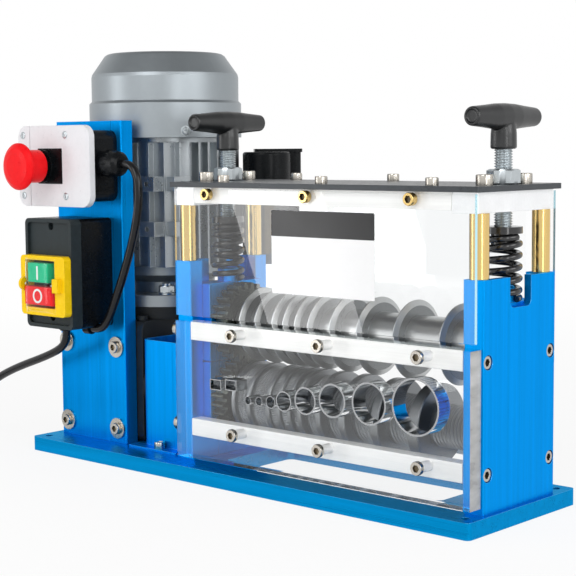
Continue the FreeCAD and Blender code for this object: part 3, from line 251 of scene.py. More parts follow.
def spread(tree, label, value, inputs, **settings):
    """A value mapped from one range to another."""
    return put(tree, "MapRange", label, {"Value": value, **inputs}, **settings).outputs["Result"]


def mix(tree, label, factor, first, second):
    """A blend of two colours, each three numbers or a socket."""
    first, second = (c if isinstance(c, bpy.types.NodeSocket) else (*c, 1) for c in (first, second))
    inputs = {"Factor": factor, "A": first, "B": second}
    return put(tree, "Mix", label, inputs, data_type="RGBA").outputs["Result"]


def mix_shaders(tree, share, first, second, output):
    """Send a blend of two shaders to the output."""
    blend = put(tree, "MixShader", "", {"Fac": share, 1: first, 2: second})
    feed(tree, tree.nodes[output], {"Surface": blend.outputs["Shader"]})


def place_in(tree, kind="Object"):
    """Where a point of the surface is."""
    return put(tree, "TexCoord").outputs[kind]


def apart(tree, vector):
    """The three numbers of a vector."""
    return put(tree, "SeparateXYZ", "", {0: vector}).outputs


def new_group(name, inputs):
    """An empty shader group and the sockets of what it is given."""
    tree = bpy.data.node_groups.new(name, "ShaderNodeTree")
    for socket, value in inputs.items():
        kind = "NodeSocketVector" if isinstance(value, tuple) else "NodeSocketFloat"
        made = tree.interface.new_socket(name=socket, in_out="INPUT", socket_type=kind)
        made.default_value = value
    return tree, tree.nodes.new("NodeGroupInput").outputs


def give_out(tree, **outputs):
    """Close a shader group with the results that it gives."""
    for socket in outputs:
        tree.interface.new_socket(name=socket, in_out="OUTPUT", socket_type="NodeSocketFloat")
    feed(tree, tree.nodes.new("NodeGroupOutput"), outputs)
    return tree


def group(tree, label, build, inputs=None):
    """What a shared group gives; it is built the first time it is wanted."""
    if build not in groups:
        groups[build] = build()
    return put(tree, "Group", label, inputs, node_tree=groups[build]).outputs


def surface_grain():
    """Stretched noise for brushing, turning and moulding texture."""
    tree, given = new_group("Surface grain", {"Stretch": (400, 400, 400), "Detail": 3.0})
    place = vector_sum(tree, "MULTIPLY", place_in(tree), given["Stretch"], label="Stretch")
    fine = put(tree, "TexNoise", "Fine grain", {
        "Vector": place, "Scale": 1.0, "Detail": given["Detail"], "Roughness": 0.6}).outputs["Fac"]
    broad = put(tree, "TexNoise", "Broad variation", {
        "Vector": place, "Scale": 0.13, "Detail": 2.0}).outputs["Fac"]
    half = work_out(tree, "MULTIPLY", broad, 0.55, label="Share of broad")
    tone = work_out(tree, "MULTIPLY_ADD", fine, 0.45, half, label="Fine and broad")
    return give_out(tree, Tone=tone, Height=fine)


def edge_mask():
    """Where a worn, polished or lit edge runs, from the bend of the surface: it carries wear and a
    painted highlight.
    """
    tree, given = new_group("Edge mask", {"Width": 0.0008, "Breakup": 0.4})
    bevel = put(tree, "Bevel", "", {"Radius": given["Width"]}, samples=4)
    flat = put(tree, "NewGeometry").outputs["True Normal"]
    bend = vector_sum(tree, "DOT_PRODUCT", bevel.outputs["Normal"], flat, label="Bend", result="Value")
    rise = spread(tree, "Bend to mask", bend, {"From Min": 0.985, "From Max": 0.86})
    noise = put(tree, "TexNoise", "Breakup", {
        "Vector": place_in(tree), "Scale": 260.0, "Detail": 3.0}).outputs["Fac"]
    least = work_out(tree, "SUBTRACT", 1.0, given["Breakup"], label="One less breakup")
    keep = spread(tree, "Less where broken up", noise, {
        "From Min": 0.35, "From Max": 0.65, "To Min": least, "To Max": 1.0})
    return give_out(tree, Mask=work_out(tree, "MULTIPLY", rise, keep, label="Mask"))


def knurling():
    """Fine teeth along the lower roller, by the angle about its axis."""
    tree, given = new_group("Knurling", {"Teeth": 90.0})
    offset = vector_sum(tree, "SUBTRACT", place_in(tree), joint_place("lower_roller_spin"),
                        label="From the roller's axis")
    parts = apart(tree, offset)
    angle = work_out(tree, "ARCTAN2", parts["Y"], parts["Z"], label="Angle")
    turn = work_out(tree, "MULTIPLY", angle, given["Teeth"], label="Teeth")
    return give_out(tree, Height=work_out(tree, "SINE", turn, label="Wave"))


def rim_mask():
    """Everything further than a radius from an axis along X."""
    tree, given = new_group("Rim", {"Axis": (0, 0, 0), "Radius": 0.027})
    offset = vector_sum(tree, "SUBTRACT", place_in(tree), given["Axis"], label="From the axis")
    across = vector_sum(tree, "MULTIPLY", offset, (0, 1, 1), label="Across the axis")
    length = vector_sum(tree, "LENGTH", across, label="Distance", result="Value")
    beyond = work_out(tree, "GREATER_THAN", length, given["Radius"], label="Beyond the radius")
    return give_out(tree, Mask=beyond)


def facing():
    """Faces that look to the feed side or away from it."""
    tree = new_group("Facing", {})[0]
    way = work_out(tree, "ABSOLUTE", apart(tree, place_in(tree, "Normal"))["Y"], label="Either way")
    return give_out(tree, Mask=work_out(tree, "GREATER_THAN", way, 0.5, label="More than half"))


def new_material(name):
    """A material, its tree and its own shader."""
    made = bpy.data.materials.new(name)
    made.use_nodes = True
    return made, made.node_tree, made.node_tree.nodes["Principled BSDF"]


# The part of the grain's tone that colour and gloss follow
tone_range = {"From Min": 0.35, "From Max": 0.65}
tooth_depth = 0.18 * MM


def surface(name, colour, roughness=0.5, metallic=0.0, stretch=300, tone=0.1, gloss_change=0.08,
            bump=0.0, edge=0.0, edge_colour=None, coat=0.0, specular=0.5, tint=(1, 1, 1),
            shade=(1, 1, 1), teeth=0, rim=None, end_face_colour=None):
    """A finish: colour and gloss that vary with the grain, and its edges."""
    made, tree, shader = new_material(name)
    feed(tree, shader, {"Metallic": metallic, "Specular IOR Level": specular,
                        "Specular Tint": (*tint, 1), "Coat Weight": coat, "Coat Roughness": 0.1})
    stretch = stretch if isinstance(stretch, tuple) else (stretch, stretch, stretch)
    grain = group(tree, "Grain", surface_grain, {"Stretch": stretch})
    colour = [c * s for c, s in zip(colour, shade)]
    shown = mix(tree, "Colour", spread(tree, "Tone", grain["Tone"], tone_range),
                [c * (1 - tone) for c in colour], [min(1.0, c * (1 + tone)) for c in colour])
    # Beyond a radius from the axis the colour turns lighter: on the blades, a painted highlight on the
    # bevelled rim.
    if rim:
        axis, radius, rim_highlight_colour = rim
        beyond = group(tree, "Rim", rim_mask, {"Axis": axis, "Radius": radius})
        shown = mix(tree, "Ground rim", beyond["Mask"], shown, rim_highlight_colour)
    # Faces that look to the feed side or away from it take a darker colour than the rest.
    if end_face_colour:
        shown = mix(tree, "Faced ends", group(tree, "Facing", facing)["Mask"], shown, end_face_colour)
    # Edges take the edge colour: partly real wear, partly a painted highlight on edges that catch the
    # light.
    if edge_colour:
        worn_and_lit_edges = group(tree, "Edges", edge_mask, {"Width": edge})
        shown = mix(tree, "Edge colour", worn_and_lit_edges["Mask"], shown, edge_colour)
    gloss = spread(tree, "Roughness", grain["Tone"], {
        **tone_range, "To Min": max(0.02, roughness - gloss_change),
        "To Max": min(1.0, roughness + gloss_change)})
    feed(tree, shader, {"Base Color": shown, "Roughness": gloss})
    normal = {}
    if edge:
        soft = put(tree, "Bevel", "Soft edges", {"Radius": edge}, samples=4)
        normal = {"Normal": soft.outputs["Normal"]}
    heights = [(grain["Height"], bump)] if bump else []
    if teeth:
        heights.append((group(tree, "Knurling", knurling, {"Teeth": teeth})["Height"], tooth_depth))
    for height, depth in heights:
        relief = put(tree, "Bump", "Relief", {
            "Strength": 1.0, "Distance": depth, "Height": height, **normal})
        normal = {"Normal": relief.outputs["Normal"]}
    feed(tree, shader, normal)
    return made


def clear_acrylic(name, colour, edge_colour, roughness, bend=1.49, coat=0.0):
    """Clear sheet with sawn edges, which lets a lamp's light through."""
    made, tree, shader = new_material(name)
    feed(tree, shader, {"Transmission Weight": 1.0, "IOR": bend, "Coat Weight": coat,
                        "Coat Roughness": 0.02})
    grain = group(tree, "Polish", surface_grain, {"Stretch": (60, 60, 60)})
    gloss = spread(tree, "Face roughness", grain["Tone"], {"To Max": roughness})
    face = group(tree, "Facing", facing)["Mask"]
    rim = work_out(tree, "SUBTRACT", 1.0, face, label="On an edge")
    frost = put(tree, "Mix", "Edge roughness", {"Factor": rim, "A": gloss, "B": 0.05},
                data_type="FLOAT")
    feed(tree, shader, {"Base Color": mix(tree, "Edge tint", rim, colour, edge_colour),
                        "Roughness": frost.outputs["Result"]})
    let_by = put(tree, "BsdfTransparent", "", {"Color": (0.975, 0.98, 0.98, 1)})
    rays = put(tree, "LightPath").outputs
    unseen = work_out(tree, "MAXIMUM", rays["Is Shadow Ray"], rays["Is Diffuse Ray"])
    mirrored = work_out(tree, "SUBTRACT", rays["Is Glossy Ray"], rays["Is Transmission Ray"],
                        label="Gloss, not glass")
    mix_shaders(tree, work_out(tree, "MAXIMUM", unseen, mirrored), shader.outputs["BSDF"],
                let_by.outputs["BSDF"], "Material Output")
    return made


# Settings a user would change

def colour_setting(name, description, default):
    """A colour."""
    return FloatVectorProperty(name=name, description=description, subtype="COLOR", size=3,
                               min=0, max=1, default=default)


def length_setting(name, description, least, most, default, subtype="DISTANCE"):
    """A length in metres, or in millimetres for a lens."""
    return FloatProperty(name=name, description=description, subtype=subtype,
                         min=least, max=most, default=default)


def angle_setting(name, description, degrees):
    """An angle."""
    return FloatProperty(name=name, description=description, subtype="ANGLE",
                         default=math.radians(degrees))


class MACHINE_PG_finish(bpy.types.PropertyGroup):
    """Colours of the machine's finishes."""
    anodised: colour_setting("Anodised blue", "Colour of the plates", (0.001, 0.29, 0.79))
    stop_red: colour_setting("Stop red", "Colour of the mushroom head", (0.83, 0.006, 0.010))
    bezel_yellow: colour_setting("Bezel yellow", "Colour of the switch bezel", (0.92, 0.60, 0.006))
    start_green: colour_setting("Start green", "Colour of the start key", (0.0, 0.50, 0.24))
    motor_silver: colour_setting("Motor silver", "Colour of the finned motor body",
                                 (0.40, 0.43, 0.45))
    edge: length_setting("Soft edge", "Radius that plate edges look broken to", 0, 0.003, 0.0006)


class MACHINE_PG_cords(bpy.types.PropertyGroup):
    """Sizes of the cables."""
    diameter: length_setting("Cable diameter", "Across the sheath of both cables",
                             0.004, 0.012, 0.0075)
    coil_radius: length_setting("Coil radius", "Middle of the outermost turn", 0.03, 0.1, 0.057)
    coil_turns: FloatProperty(name="Coil turns", description="How often the spare lead goes round",
                              min=1, max=8, default=4.5)
    coil_step: length_setting("Coil step", "From one turn to the next", 0.0076, 0.012, 0.0084)


class MACHINE_PG_details(bpy.types.PropertyGroup):
    """Sizes of the small pieces."""
    thread_pitch: length_setting("Thread pitch", "Pitch of the press screws", 0.001, 0.003, 0.002)
    label_width: length_setting("Label width", "Of the bare plate on the front cover",
                                0.02, 0.2, 0.1065)
    label_height: length_setting("Label height", "Of the bare plate on the front cover",
                                 0.02, 0.1, 0.067)
    knurls: IntProperty(name="Knurls", description="Ridges round a cap screw's head",
                        min=12, max=60, default=36)


class MACHINE_PG_stage(bpy.types.PropertyGroup):
    """Camera and studio."""
    lens: length_setting("Lens", "Focal length on a 36 mm sensor", 20, 200, 91.585,
                         "DISTANCE_CAMERA")
    yaw: angle_setting("Yaw", "How far the camera looks to the left of +Y", 42.235)
    pitch: angle_setting("Pitch", "How far the camera looks down", 5.561)
    roll: angle_setting("Roll", "Tilt of the camera about its view", -0.478)
    place: FloatVectorProperty(name="Camera place", description="Where the camera stands",
                               subtype="TRANSLATION", size=3, default=(0.8463, -0.91965, 0.2840))
    daylight: FloatProperty(name="Surrounding light", description="Level of the light from all round",
                            min=0, max=2, default=0.55)


class MACHINE_OT_camera(bpy.types.Operator):
    """Stand the camera where the photograph was taken"""
    bl_idname = "machine.camera"
    bl_label = "Camera"

    def execute(self, context):
        stage = context.scene.machine_stage
        ahead = Vector((-math.sin(stage.yaw) * math.cos(stage.pitch),
                        math.cos(stage.yaw) * math.cos(stage.pitch), -math.sin(stage.pitch)))
        level = Vector((math.cos(stage.yaw), math.sin(stage.yaw), 0))
        right = math.cos(stage.roll) * level + math.sin(stage.roll) * level.cross(ahead)
        data = bpy.data.cameras.new("Camera")
        data.lens = stage.lens
        data.sensor_width = 36
        data.clip_start = 0.05
        camera = bpy.data.objects.new("Camera", data)
        context.scene.collection.objects.link(camera)
        turn = Matrix((right, right.cross(ahead), -ahead)).transposed().to_4x4()
        camera.matrix_world = Matrix.Translation(Vector(stage.place)) @ turn
        context.scene.camera = camera
        return {"FINISHED"}


# Cords: millimetres beyond the exit along X, and above the bench

link_points = [(0, 269), (9, 269), (17, 262), (20.5, 248), (19, 228), (11, 200), (-2, 170),
               (-14.5, 145), (-22, 131.5), (-28, 124), (-34.5, 119.5), (-46, 119.5)]
mains_points = [(0, 117), (0, 110), (-4.5, 103), (-12.5, 97.8), (-25, 92.5), (-42, 86.5),
                (-62, 80), (-83, 72.5), (-104, 63.5), (-124, 52), (-141.5, 38), (-156, 24.5),
                (-169, 13.6), (-182, 6.6), (-195, 3.75), (-210, 3.75)]
mains_radius = 3.75 * MM


def cord_route(node, exit_x, points):
    """Points of a cord in metres, in the upright plane of its node."""
    y = middle(node).y
    return [(exit_x + dx * MM, y, z * MM) for dx, z in points]


def coil_route(start, cords):
    """The spare lead's turns: in on the bench, out again on top of them."""
    steps, aside, tail = 16, 12 * MM, (20, 36, 48)
    centre = Vector((start[0] - aside, start[1] - cords.coil_radius, cords.diameter / 2))
    points = []
    for i in range(int(cords.coil_turns * steps) + 1):
        t = i / steps
        radius = cords.coil_radius - cords.coil_step * min(t, cords.coil_turns - t)
        climb = min(max((t - cords.coil_turns / 2) / 0.5 + 0.5, 0), 1)
        angle = math.pi / 2 + 2 * math.pi * t
        points.append(centre + Vector((radius * math.cos(angle), radius * math.sin(angle),
                                       cords.coil_step * climb)))
    end = points[-1]
    points += [end + X * beyond * MM for beyond in tail]
    return [tuple(p) for p in points]


def smooth_line(name, points, diameter):
    """A cord: one NURBS spline with the route as its control points."""
    data = bpy.data.curves.new(name, "CURVE")
    data.dimensions = "3D"
    data.bevel_depth = diameter / 2
    data.bevel_resolution = 5
    data.resolution_u = 8
    data.use_fill_caps = True
    spline = data.splines.new("NURBS")
    spline.points.add(len(points) - 1)
    for point, place in zip(spline.points, points):
        point.co = (*place, 1)
    spline.order_u = 3
    spline.use_endpoint_u = True
    piece = bpy.data.objects.new(name, data)
    bpy.context.scene.collection.objects.link(piece)
    return piece


def line_length(piece):
    """Length of a cord's own line."""
    copy = piece.copy()
    copy.data = piece.data.copy()
    copy.data.bevel_depth = 0
    mesh = bpy.data.meshes.new_from_object(copy)
    total = sum((mesh.vertices[a].co - mesh.vertices[b].co).length
                for a, b in (edge.vertices for edge in mesh.edges))
    bpy.data.objects.remove(copy)
    bpy.data.meshes.remove(mesh)
    return total


class MACHINE_OT_link_cable(bpy.types.Operator):
    """The cable between the emergency stop and the switch"""
    bl_idname = "machine.link_cable"
    bl_label = "Link cable"

    def execute(self, context):
        cords = context.scene.machine_cords
        route = cord_route("link_cable", high("cable_glands").x, link_points)
        piece = smooth_line("link_cord", route, cords.diameter)
        dress(piece, "frame", "cable_sheath", "link_cable")
        line_length(piece)
        return {"FINISHED"}


class MACHINE_OT_mains_lead(bpy.types.Operator):
    """The mains lead, its coil on the bench and its plug"""
    bl_idname = "machine.mains_lead"
    bl_label = "Mains lead"

    def execute(self, context):
        cords = context.scene.machine_cords
        route = cord_route("mains_cable", high("mains_cable").x - mains_radius, mains_points)
        route += coil_route(route[-1], cords)
        piece = smooth_line("mains_cord", route, cords.diameter)
        dress(piece, "frame", "cable_sheath", "mains_cable", "mains_coil")
        plug = make_plug(Vector(route[-1]), cords.diameter)
        dress(plug, "frame", "cable_sheath", "mains_plug")
        pins = make_plug_pins()
        dress(pins, "frame", "screw_nickel")
        line_length(piece)
        return {"FINISHED"}


pin_length = 19 * MM
# Share of the body's size, and millimetres from the cord's end
plug_shape = [(0.55, 13.5), (0.86, 16), (0.97, 19), (0.98, 24), (0.95, 27), (0.95, 31), (0.98, 34)]


def make_plug(start, diameter):
    """Moulded plug with a ribbed neck and finger grips."""
    wide, tall = [(high("mains_plug") - low("mains_plug"))[i] / 2 for i in (1, 2)]
    line = middle("mains_plug")
    line.x = 0
    neck, flare, rib = diameter / 2 + 0.7 * MM, 2.2 * MM, 0.5 * MM
    neck_length, steps, count = 12 * MM, 8, 32
    rings = []
    for i in range(steps + 1):
        radius = neck + flare * i / steps + (rib if i % 2 else 0)
        rings.append(ring(count, radius, line + X * (start.x + neck_length * i / steps), X, Y))
    for share, dx in plug_shape:
        at = line + X * (start.x + dx * MM)
        rings.append(soft_square(count, wide * share, tall * share, at, 2.6))
    body_end = high("mains_plug").x - pin_length
    rings.append(soft_square(count, wide, tall, line + X * (body_end - 2 * MM), 3.2))
    rings.append(soft_square(count, wide * 0.96, tall * 0.95, line + X * body_end, 3.2))
    mesh = bmesh.new()
    loft(mesh, rings)
    return finish_mesh("plug_moulding", mesh)


def make_plug_pins():
    """Two flat blades and a round earth pin, rooted in the plug's body."""
    line = middle("mains_plug")
    line.x = 0
    end = high("mains_plug").x
    root = end - pin_length - 2 * MM
    thick, wide, apart_by = 1.5 * MM, 6.4 * MM, 12.7 * MM
    mesh = bmesh.new()
    for side in (-1, 1):
        at = line + Y * side * apart_by / 2 - Z * 1.25 * MM
        loft(mesh, [soft_square(16, thick / 2 * share, wide / 2 * share, at + X * x, 8)
                    for x, share in ((root, 1), (end - 4 * MM, 1), (end - 2 * MM, 0.75))])
    earth = line + X * root + Z * 6.6 * MM
    turned(mesh, [(2.4, 0), (2.4, 17.5), (2.0, 19.8), (1.0, 21)], earth, X, Y, 24)
    return finish_mesh("plug_pins", mesh)


# Finishes: the record's slot, the nodes of the frame, and the surface.
# A word in place of a colour or an edge names one of the settings.

# Each edge colour below is partly edge wear and partly a painted highlight on edges that catch the
# light.
anodised = dict(colour="anodised", metallic=0.75, gloss_change=0.07, bump=0.00002, edge="edge",
                edge_colour=(0.16, 0.52, 0.90), specular=0.05)
# Roller and blade steel has a colour darker than bare steel: painted shade for the rollers' place inside
# the frame.
roller = dict(metallic=0.95, tone=0.04, gloss_change=0.03, edge=0.0003, edge_colour=(0.66, 0.67, 0.68))
plated = dict(metallic=1.0, stretch=200, tone=0.05, gloss_change=0.03, edge=0.0002)
finishes = {
    "anodised_upright": (
        "blue_anodised", ["side_plate_left", "side_plate_right", "tower_plate", "coupling_guard",
                          "lower_bearing_blocks", "upper_bearing_blocks"],
        dict(anodised, roughness=0.34, stretch=(1500, 1500, 18), tint=(0.05, 0.70, 1.0))),
    "anodised_flat": (
        "blue_anodised", ["base_plate"],
        dict(anodised, shade=(1, 0.86, 0.72), roughness=0.32, stretch=(18, 1500, 1500),
             tint=(0.05, 0.75, 1.0))),
    "casting": (
        "dark_casting", ["gearbox_housing", "gearbox_flange"],
        dict(colour=(0.016, 0.019, 0.021), roughness=0.42, stretch=900, tone=0.2, bump=0.0002,
             edge=0.0012, edge_colour=(0.035, 0.040, 0.045), specular=0.22)),
    "motor_paint": (
        "motor_silver", ["motor_body"],
        dict(colour="motor_silver", metallic=0.85, roughness=0.33, stretch=260, tone=0.06,
             edge=0.0005, edge_colour=(0.74, 0.78, 0.80))),
    "shield_paint": (
        "motor_grey", ["motor_end_shield"],
        dict(colour=(0.24, 0.27, 0.29), metallic=0.7, roughness=0.36, stretch=260, tone=0.08,
             edge=0.0006, edge_colour=(0.45, 0.49, 0.51))),
    "cowl_paint": (
        "cowl_silver", ["fan_cowl", "motor_flange"],
        dict(colour=(0.31, 0.34, 0.36), metallic=0.95, roughness=0.42, stretch=160, tone=0.03,
             gloss_change=0.02, edge=0.0008)),
    "black_moulding": (
        "black_plastic", ["terminal_box", "estop_box", "estop_collar", "cable_glands", "switch_box",
                          "estop_stem"],
        dict(colour=(0.004, 0.005, 0.006), roughness=0.28, stretch=900, tone=0.15, bump=0.00003,
             edge=0.0007, specular=0.14)),
    "handle_moulding": (
        "black_plastic", ["t_handle_left", "t_handle_right"],
        dict(colour=(0.006, 0.007, 0.008), roughness=0.33, stretch=400, tone=0.15,
             gloss_change=0.03, specular=0.62)),
    "cover_moulding": (
        "dark_plastic", ["switch_cover"],
        dict(colour=(0.018, 0.026, 0.029), roughness=0.48, stretch=2200, tone=0.2, bump=0.00010,
             edge=0.0006, specular=0.2)),
    "white_moulding": (
        "white_plastic", ["estop_lid"],
        dict(colour=(0.76, 0.765, 0.79), roughness=0.34, stretch=1400, tone=0.02, bump=0.00003,
             edge=0.0009)),
    "yellow_moulding": (
        "yellow_plastic", ["switch_bezel"],
        dict(colour="bezel_yellow", roughness=0.25, stretch=900, tone=0.04, bump=0.00001,
             edge=0.0008, specular=0.15)),
    "red_moulding": (
        "red_plastic", ["estop_head", "stop_button"],
        dict(colour="stop_red", roughness=0.33, stretch=1400, tone=0.04, bump=0.00002, edge=0.0006,
             specular=0.12)),
    "green_moulding": (
        "green_plastic", ["start_button"],
        dict(colour="start_green", roughness=0.3, stretch=900, tone=0.04, bump=0.00001, edge=0.0005,
             specular=0.15)),
    "sawn_acrylic": (
        "clear_acrylic", [],
        dict(colour=(0.34, 0.34, 0.335), roughness=0.28, stretch=(20, 30, 75), tone=0.5,
             gloss_change=0.1, bump=0.00003, specular=0.4)),
    "mirror_steel": (
        "polished_steel", ["guide_bushes"],
        dict(colour=(0.86, 0.87, 0.88), metallic=1.0, roughness=0.04, stretch=(200, 30, 200),
             tone=0.02, gloss_change=0.01, edge=0.0002, end_face_colour=(0.42, 0.43, 0.44))),
    "screw_nickel": (
        "screw_steel", ["m8_cap_screws", "m6_cap_screws", "m8_washers"],
        dict(plated, colour=(0.52, 0.49, 0.44), roughness=0.25)),
    # Dark colour for the hexagon sockets of the screw heads: painted shade in the recesses.
    "socket_steel": (
        "screw_steel", [],
        dict(colour=(0.16, 0.13, 0.085), metallic=0.85, roughness=0.32, stretch=900, tone=0.2)),
    "zinc": (
        "zinc_steel", ["lock_nuts", "press_screw_left", "press_screw_right"],
        dict(plated, colour=(0.50, 0.54, 0.56), roughness=0.30)),
    "ground_roller": (
        "roller_steel", ["lower_shaft", "feed_discs", "upper_shaft"],
        dict(roller, colour=(0.22, 0.23, 0.24), roughness=0.33, stretch=(120, 30, 30))),
    "knurled_roller": (
        "roller_steel", ["feed_sleeves"],
        dict(roller, colour=(0.20, 0.21, 0.22), roughness=0.30, stretch=(120, 30, 30), teeth=120)),
    # Dark blade sides and a light bevelled rim: painted shade on the sides, and a painted highlight on
    # the rim where the bevel catches the light.
    "ground_blade": (
        "blade_steel", ["stripping_blades"],
        dict(roller, colour=(0.16, 0.17, 0.175), roughness=0.34, stretch=160,
             edge_colour=(0.84, 0.85, 0.85),
             rim=(joint_place("upper_roller_spin"), 0.0273, (0.46, 0.47, 0.47)))),
    "oiled_gear": (
        "gear_steel", ["lower_gear", "upper_gear", "shaft_coupling"],
        dict(colour=(0.045, 0.052, 0.040), metallic=0.8, roughness=0.36, stretch=900, tone=0.35,
             gloss_change=0.15, bump=0.00003, edge=0.0004, edge_colour=(0.28, 0.29, 0.24), coat=0.4)),
    "spring_enamel": (
        "spring_black", ["spring_left", "spring_right", "collar_left", "collar_right"],
        dict(colour=(0.008, 0.008, 0.009), roughness=0.20, stretch=600, tone=0.3, gloss_change=0.06,
             bump=0.00004, coat=0.3)),
    "aluminium_bar": (
        "bright_aluminium", ["cross_bars", "cover_bars"],
        dict(colour=(0.96, 0.955, 0.94), metallic=0.2, roughness=0.42, stretch=(14, 1500, 1500),
             tone=0.04, gloss_change=0.05, bump=0.00001, edge=0.0004, specular=0.3)),
    "milled_aluminium": (
        "bright_aluminium", ["bridge_blocks"],
        dict(colour=(0.88, 0.89, 0.90), metallic=0.55, roughness=0.36, stretch=500, tone=0.04,
             gloss_change=0.06, edge=0.0005)),
    "turned_aluminium": (
        "bright_aluminium", ["spacer_sleeves"],
        dict(colour=(0.50, 0.51, 0.51), metallic=1.0, roughness=0.30, stretch=30, tone=0.02,
             gloss_change=0.02, edge=0.0003)),
    "brass": (
        "brass", ["cover_screws", "pillars"],
        dict(colour=(0.72, 0.51, 0.20), metallic=1.0, roughness=0.20, stretch=(40, 40, 8), tone=0.02,
             gloss_change=0.01, edge=0.0003)),
    "plate_paint": (
        "dark_plate", ["top_plate"],
        dict(colour=(0.046, 0.052, 0.058), roughness=0.34, metallic=0.2, stretch=1200, tone=0.12,
             bump=0.00003, edge=0.0003, specular=0.35)),
    "cable_sheath": (
        "cable_rubber", ["link_cable", "mains_cable", "mains_coil", "mains_plug"],
        dict(colour=(0.006, 0.006, 0.007), roughness=0.20, stretch=1500, tone=0.2, gloss_change=0.04,
             bump=0.00002, specular=0.30)),
    "label_film": (
        "white_plastic", [],
        dict(colour=(0.84, 0.84, 0.845), roughness=0.20, stretch=250, tone=0.01, gloss_change=0.03)),
    "label_ink": (
        "dark_plastic", [],
        dict(colour=(0.018, 0.018, 0.019), roughness=0.22, stretch=250, tone=0.05, gloss_change=0.03,
             specular=0.3)),
    "mark_white": (
        "white_plastic", [],
        dict(colour=(0.82, 0.83, 0.82), roughness=0.3, stretch=900, tone=0.02)),
}
clear_finishes = {
    "acrylic": (
        "clear_acrylic", ["front_cover", "rear_cover"],
        dict(colour=(0.99, 0.998, 1.0), edge_colour=(0.30, 0.78, 0.95), roughness=0.01)),
    "block_acrylic": (
        "clear_acrylic", ["guide_block"],
        dict(colour=(0.99, 0.998, 1.0), edge_colour=(0.42, 0.50, 0.52), roughness=0.01, bend=1.07,
             coat=1.0)),
    "clear_film": (
        "clear_acrylic", [],
        dict(colour=(1.0, 1.0, 1.0), edge_colour=(1.0, 1.0, 1.0), roughness=0.05, bend=1.22)),
}


class MACHINE_OT_finishes(bpy.types.Operator):
    """Make the materials and put them on the nodes of the frame"""
    bl_idname = "machine.finishes"
    bl_label = "Finishes"

    def execute(self, context):
        settings = context.scene.machine_finish
        for make, table in ((surface, finishes), (clear_acrylic, clear_finishes)):
            for finish, (_, names, given) in table.items():
                given = {key: getattr(settings, value) if isinstance(value, str) else value
                         for key, value in given.items()}
                materials[finish] = make(finish.replace("_", " ").capitalize(), **given)
                for name in names:
                    data = nodes[name].data
                    data.materials.clear()
                    data.materials.append(materials[finish])
        return {"FINISHED"}


# Small pieces

# Head radius, head height, shank radius and socket across flats, in millimetres
screw_sizes = {"m8_cap_screws": (6.5, 8.0, 4.0, 6.0), "m6_cap_screws": (5.0, 6.0, 3.0, 5.0),
               "cover_screws": (5.0, 5.6, 2.0, 5.0)}
sunk_size = (5.15, 6.0, 3.0, 5.0)
low_size = (5.4, 3.6, 4.0, 5.0)
bore_depth = 6.8 * MM
bore_radius = 5.5 * MM
# A head with this many ridges, none of them cut, is plain
plain_head = 24


def screw_piece(mesh, seat, way, size, reach, knurls, groove=0.965):
    """A socket cap screw with knurled head; way points into the work."""
    head, tall, radius, socket = (value * MM for value in size)
    side = Z if abs(way.z) < 0.5 else X
    count = knurls * 2
    back = -way

    def circle(size, height):
        """A ring at a height above the seat."""
        return ring(count, size, seat + back * height, back, side)

    def knurled(height):
        """A ring of the head with every other point a little lower."""
        axis = seat + back * height
        return [axis + (p - axis) * (1 if i % 2 else groove) for i, p in enumerate(circle(head, height))]

    def six_sided(flats, height):
        """A hexagon at a height above the seat."""
        return hexagon(count, flats, seat + back * height, back, side)

    outside = [circle(radius * 0.8, -reach), circle(radius, 0.8 * MM - reach), circle(radius, 0),
               circle(head * 0.97, 0), knurled(0.5 * MM), knurled(tall - 0.9 * MM),
               circle(head * 0.965, tall - 0.4 * MM), circle(head * 0.92, tall),
               six_sided(socket * 1.07, tall)]
    # The socket's recess takes the second finish, whose dark colour is painted shade.
    recess = [six_sided(socket, tall - 0.5 * MM), six_sided(socket, tall * 0.45),
              six_sided(socket * 0.1, tall * 0.34)]
    loft(mesh, outside + recess, second_from=len(outside))


def screw_seats(node):
    """Under each head of a node's screws: the seat, the way in and the reach."""
    head, tall = (value * MM for value in screw_sizes[node][:2])
    seats = []
    for points in separate_solids(nodes[node]):
        lows = Vector(min(p[i] for p in points) for i in range(3))
        highs = Vector(max(p[i] for p in points) for i in range(3))
        size = highs - lows
        axis = max(range(3), key=lambda i: size[i])
        seat = (lows + highs) / 2
        way = (X, Y, Z)[axis].copy()
        head_is_low = any(abs(p[axis] - lows[axis]) < 1e-6
                          and (p - seat).cross(way).length > head * 0.9 for p in points)
        seat[axis] = lows[axis] + tall if head_is_low else highs[axis] - tall
        seats.append((seat, way if head_is_low else -way, size[axis] - tall))
    return seats


def separate_solids(node):
    """The points of each loose part of a node's mesh."""
    mesh = bmesh.new()
    mesh.from_mesh(node.data)
    bmesh.ops.remove_doubles(mesh, verts=mesh.verts, dist=1e-6)
    left = set(mesh.verts)
    parts = []
    while left:
        start = left.pop()
        part = [start]
        for vert in part:
            for link in vert.link_edges:
                other = link.other_vert(vert)
                if other in left:
                    left.remove(other)
                    part.append(other)
        parts.append([vert.co.copy() for vert in part])
    mesh.free()
    return parts


def sunk(seat, way):
    """True for a screw in the open face of the right plate."""
    return way.x < -0.5 and abs(seat.x - high("side_plate_right").x) < 0.5 * MM


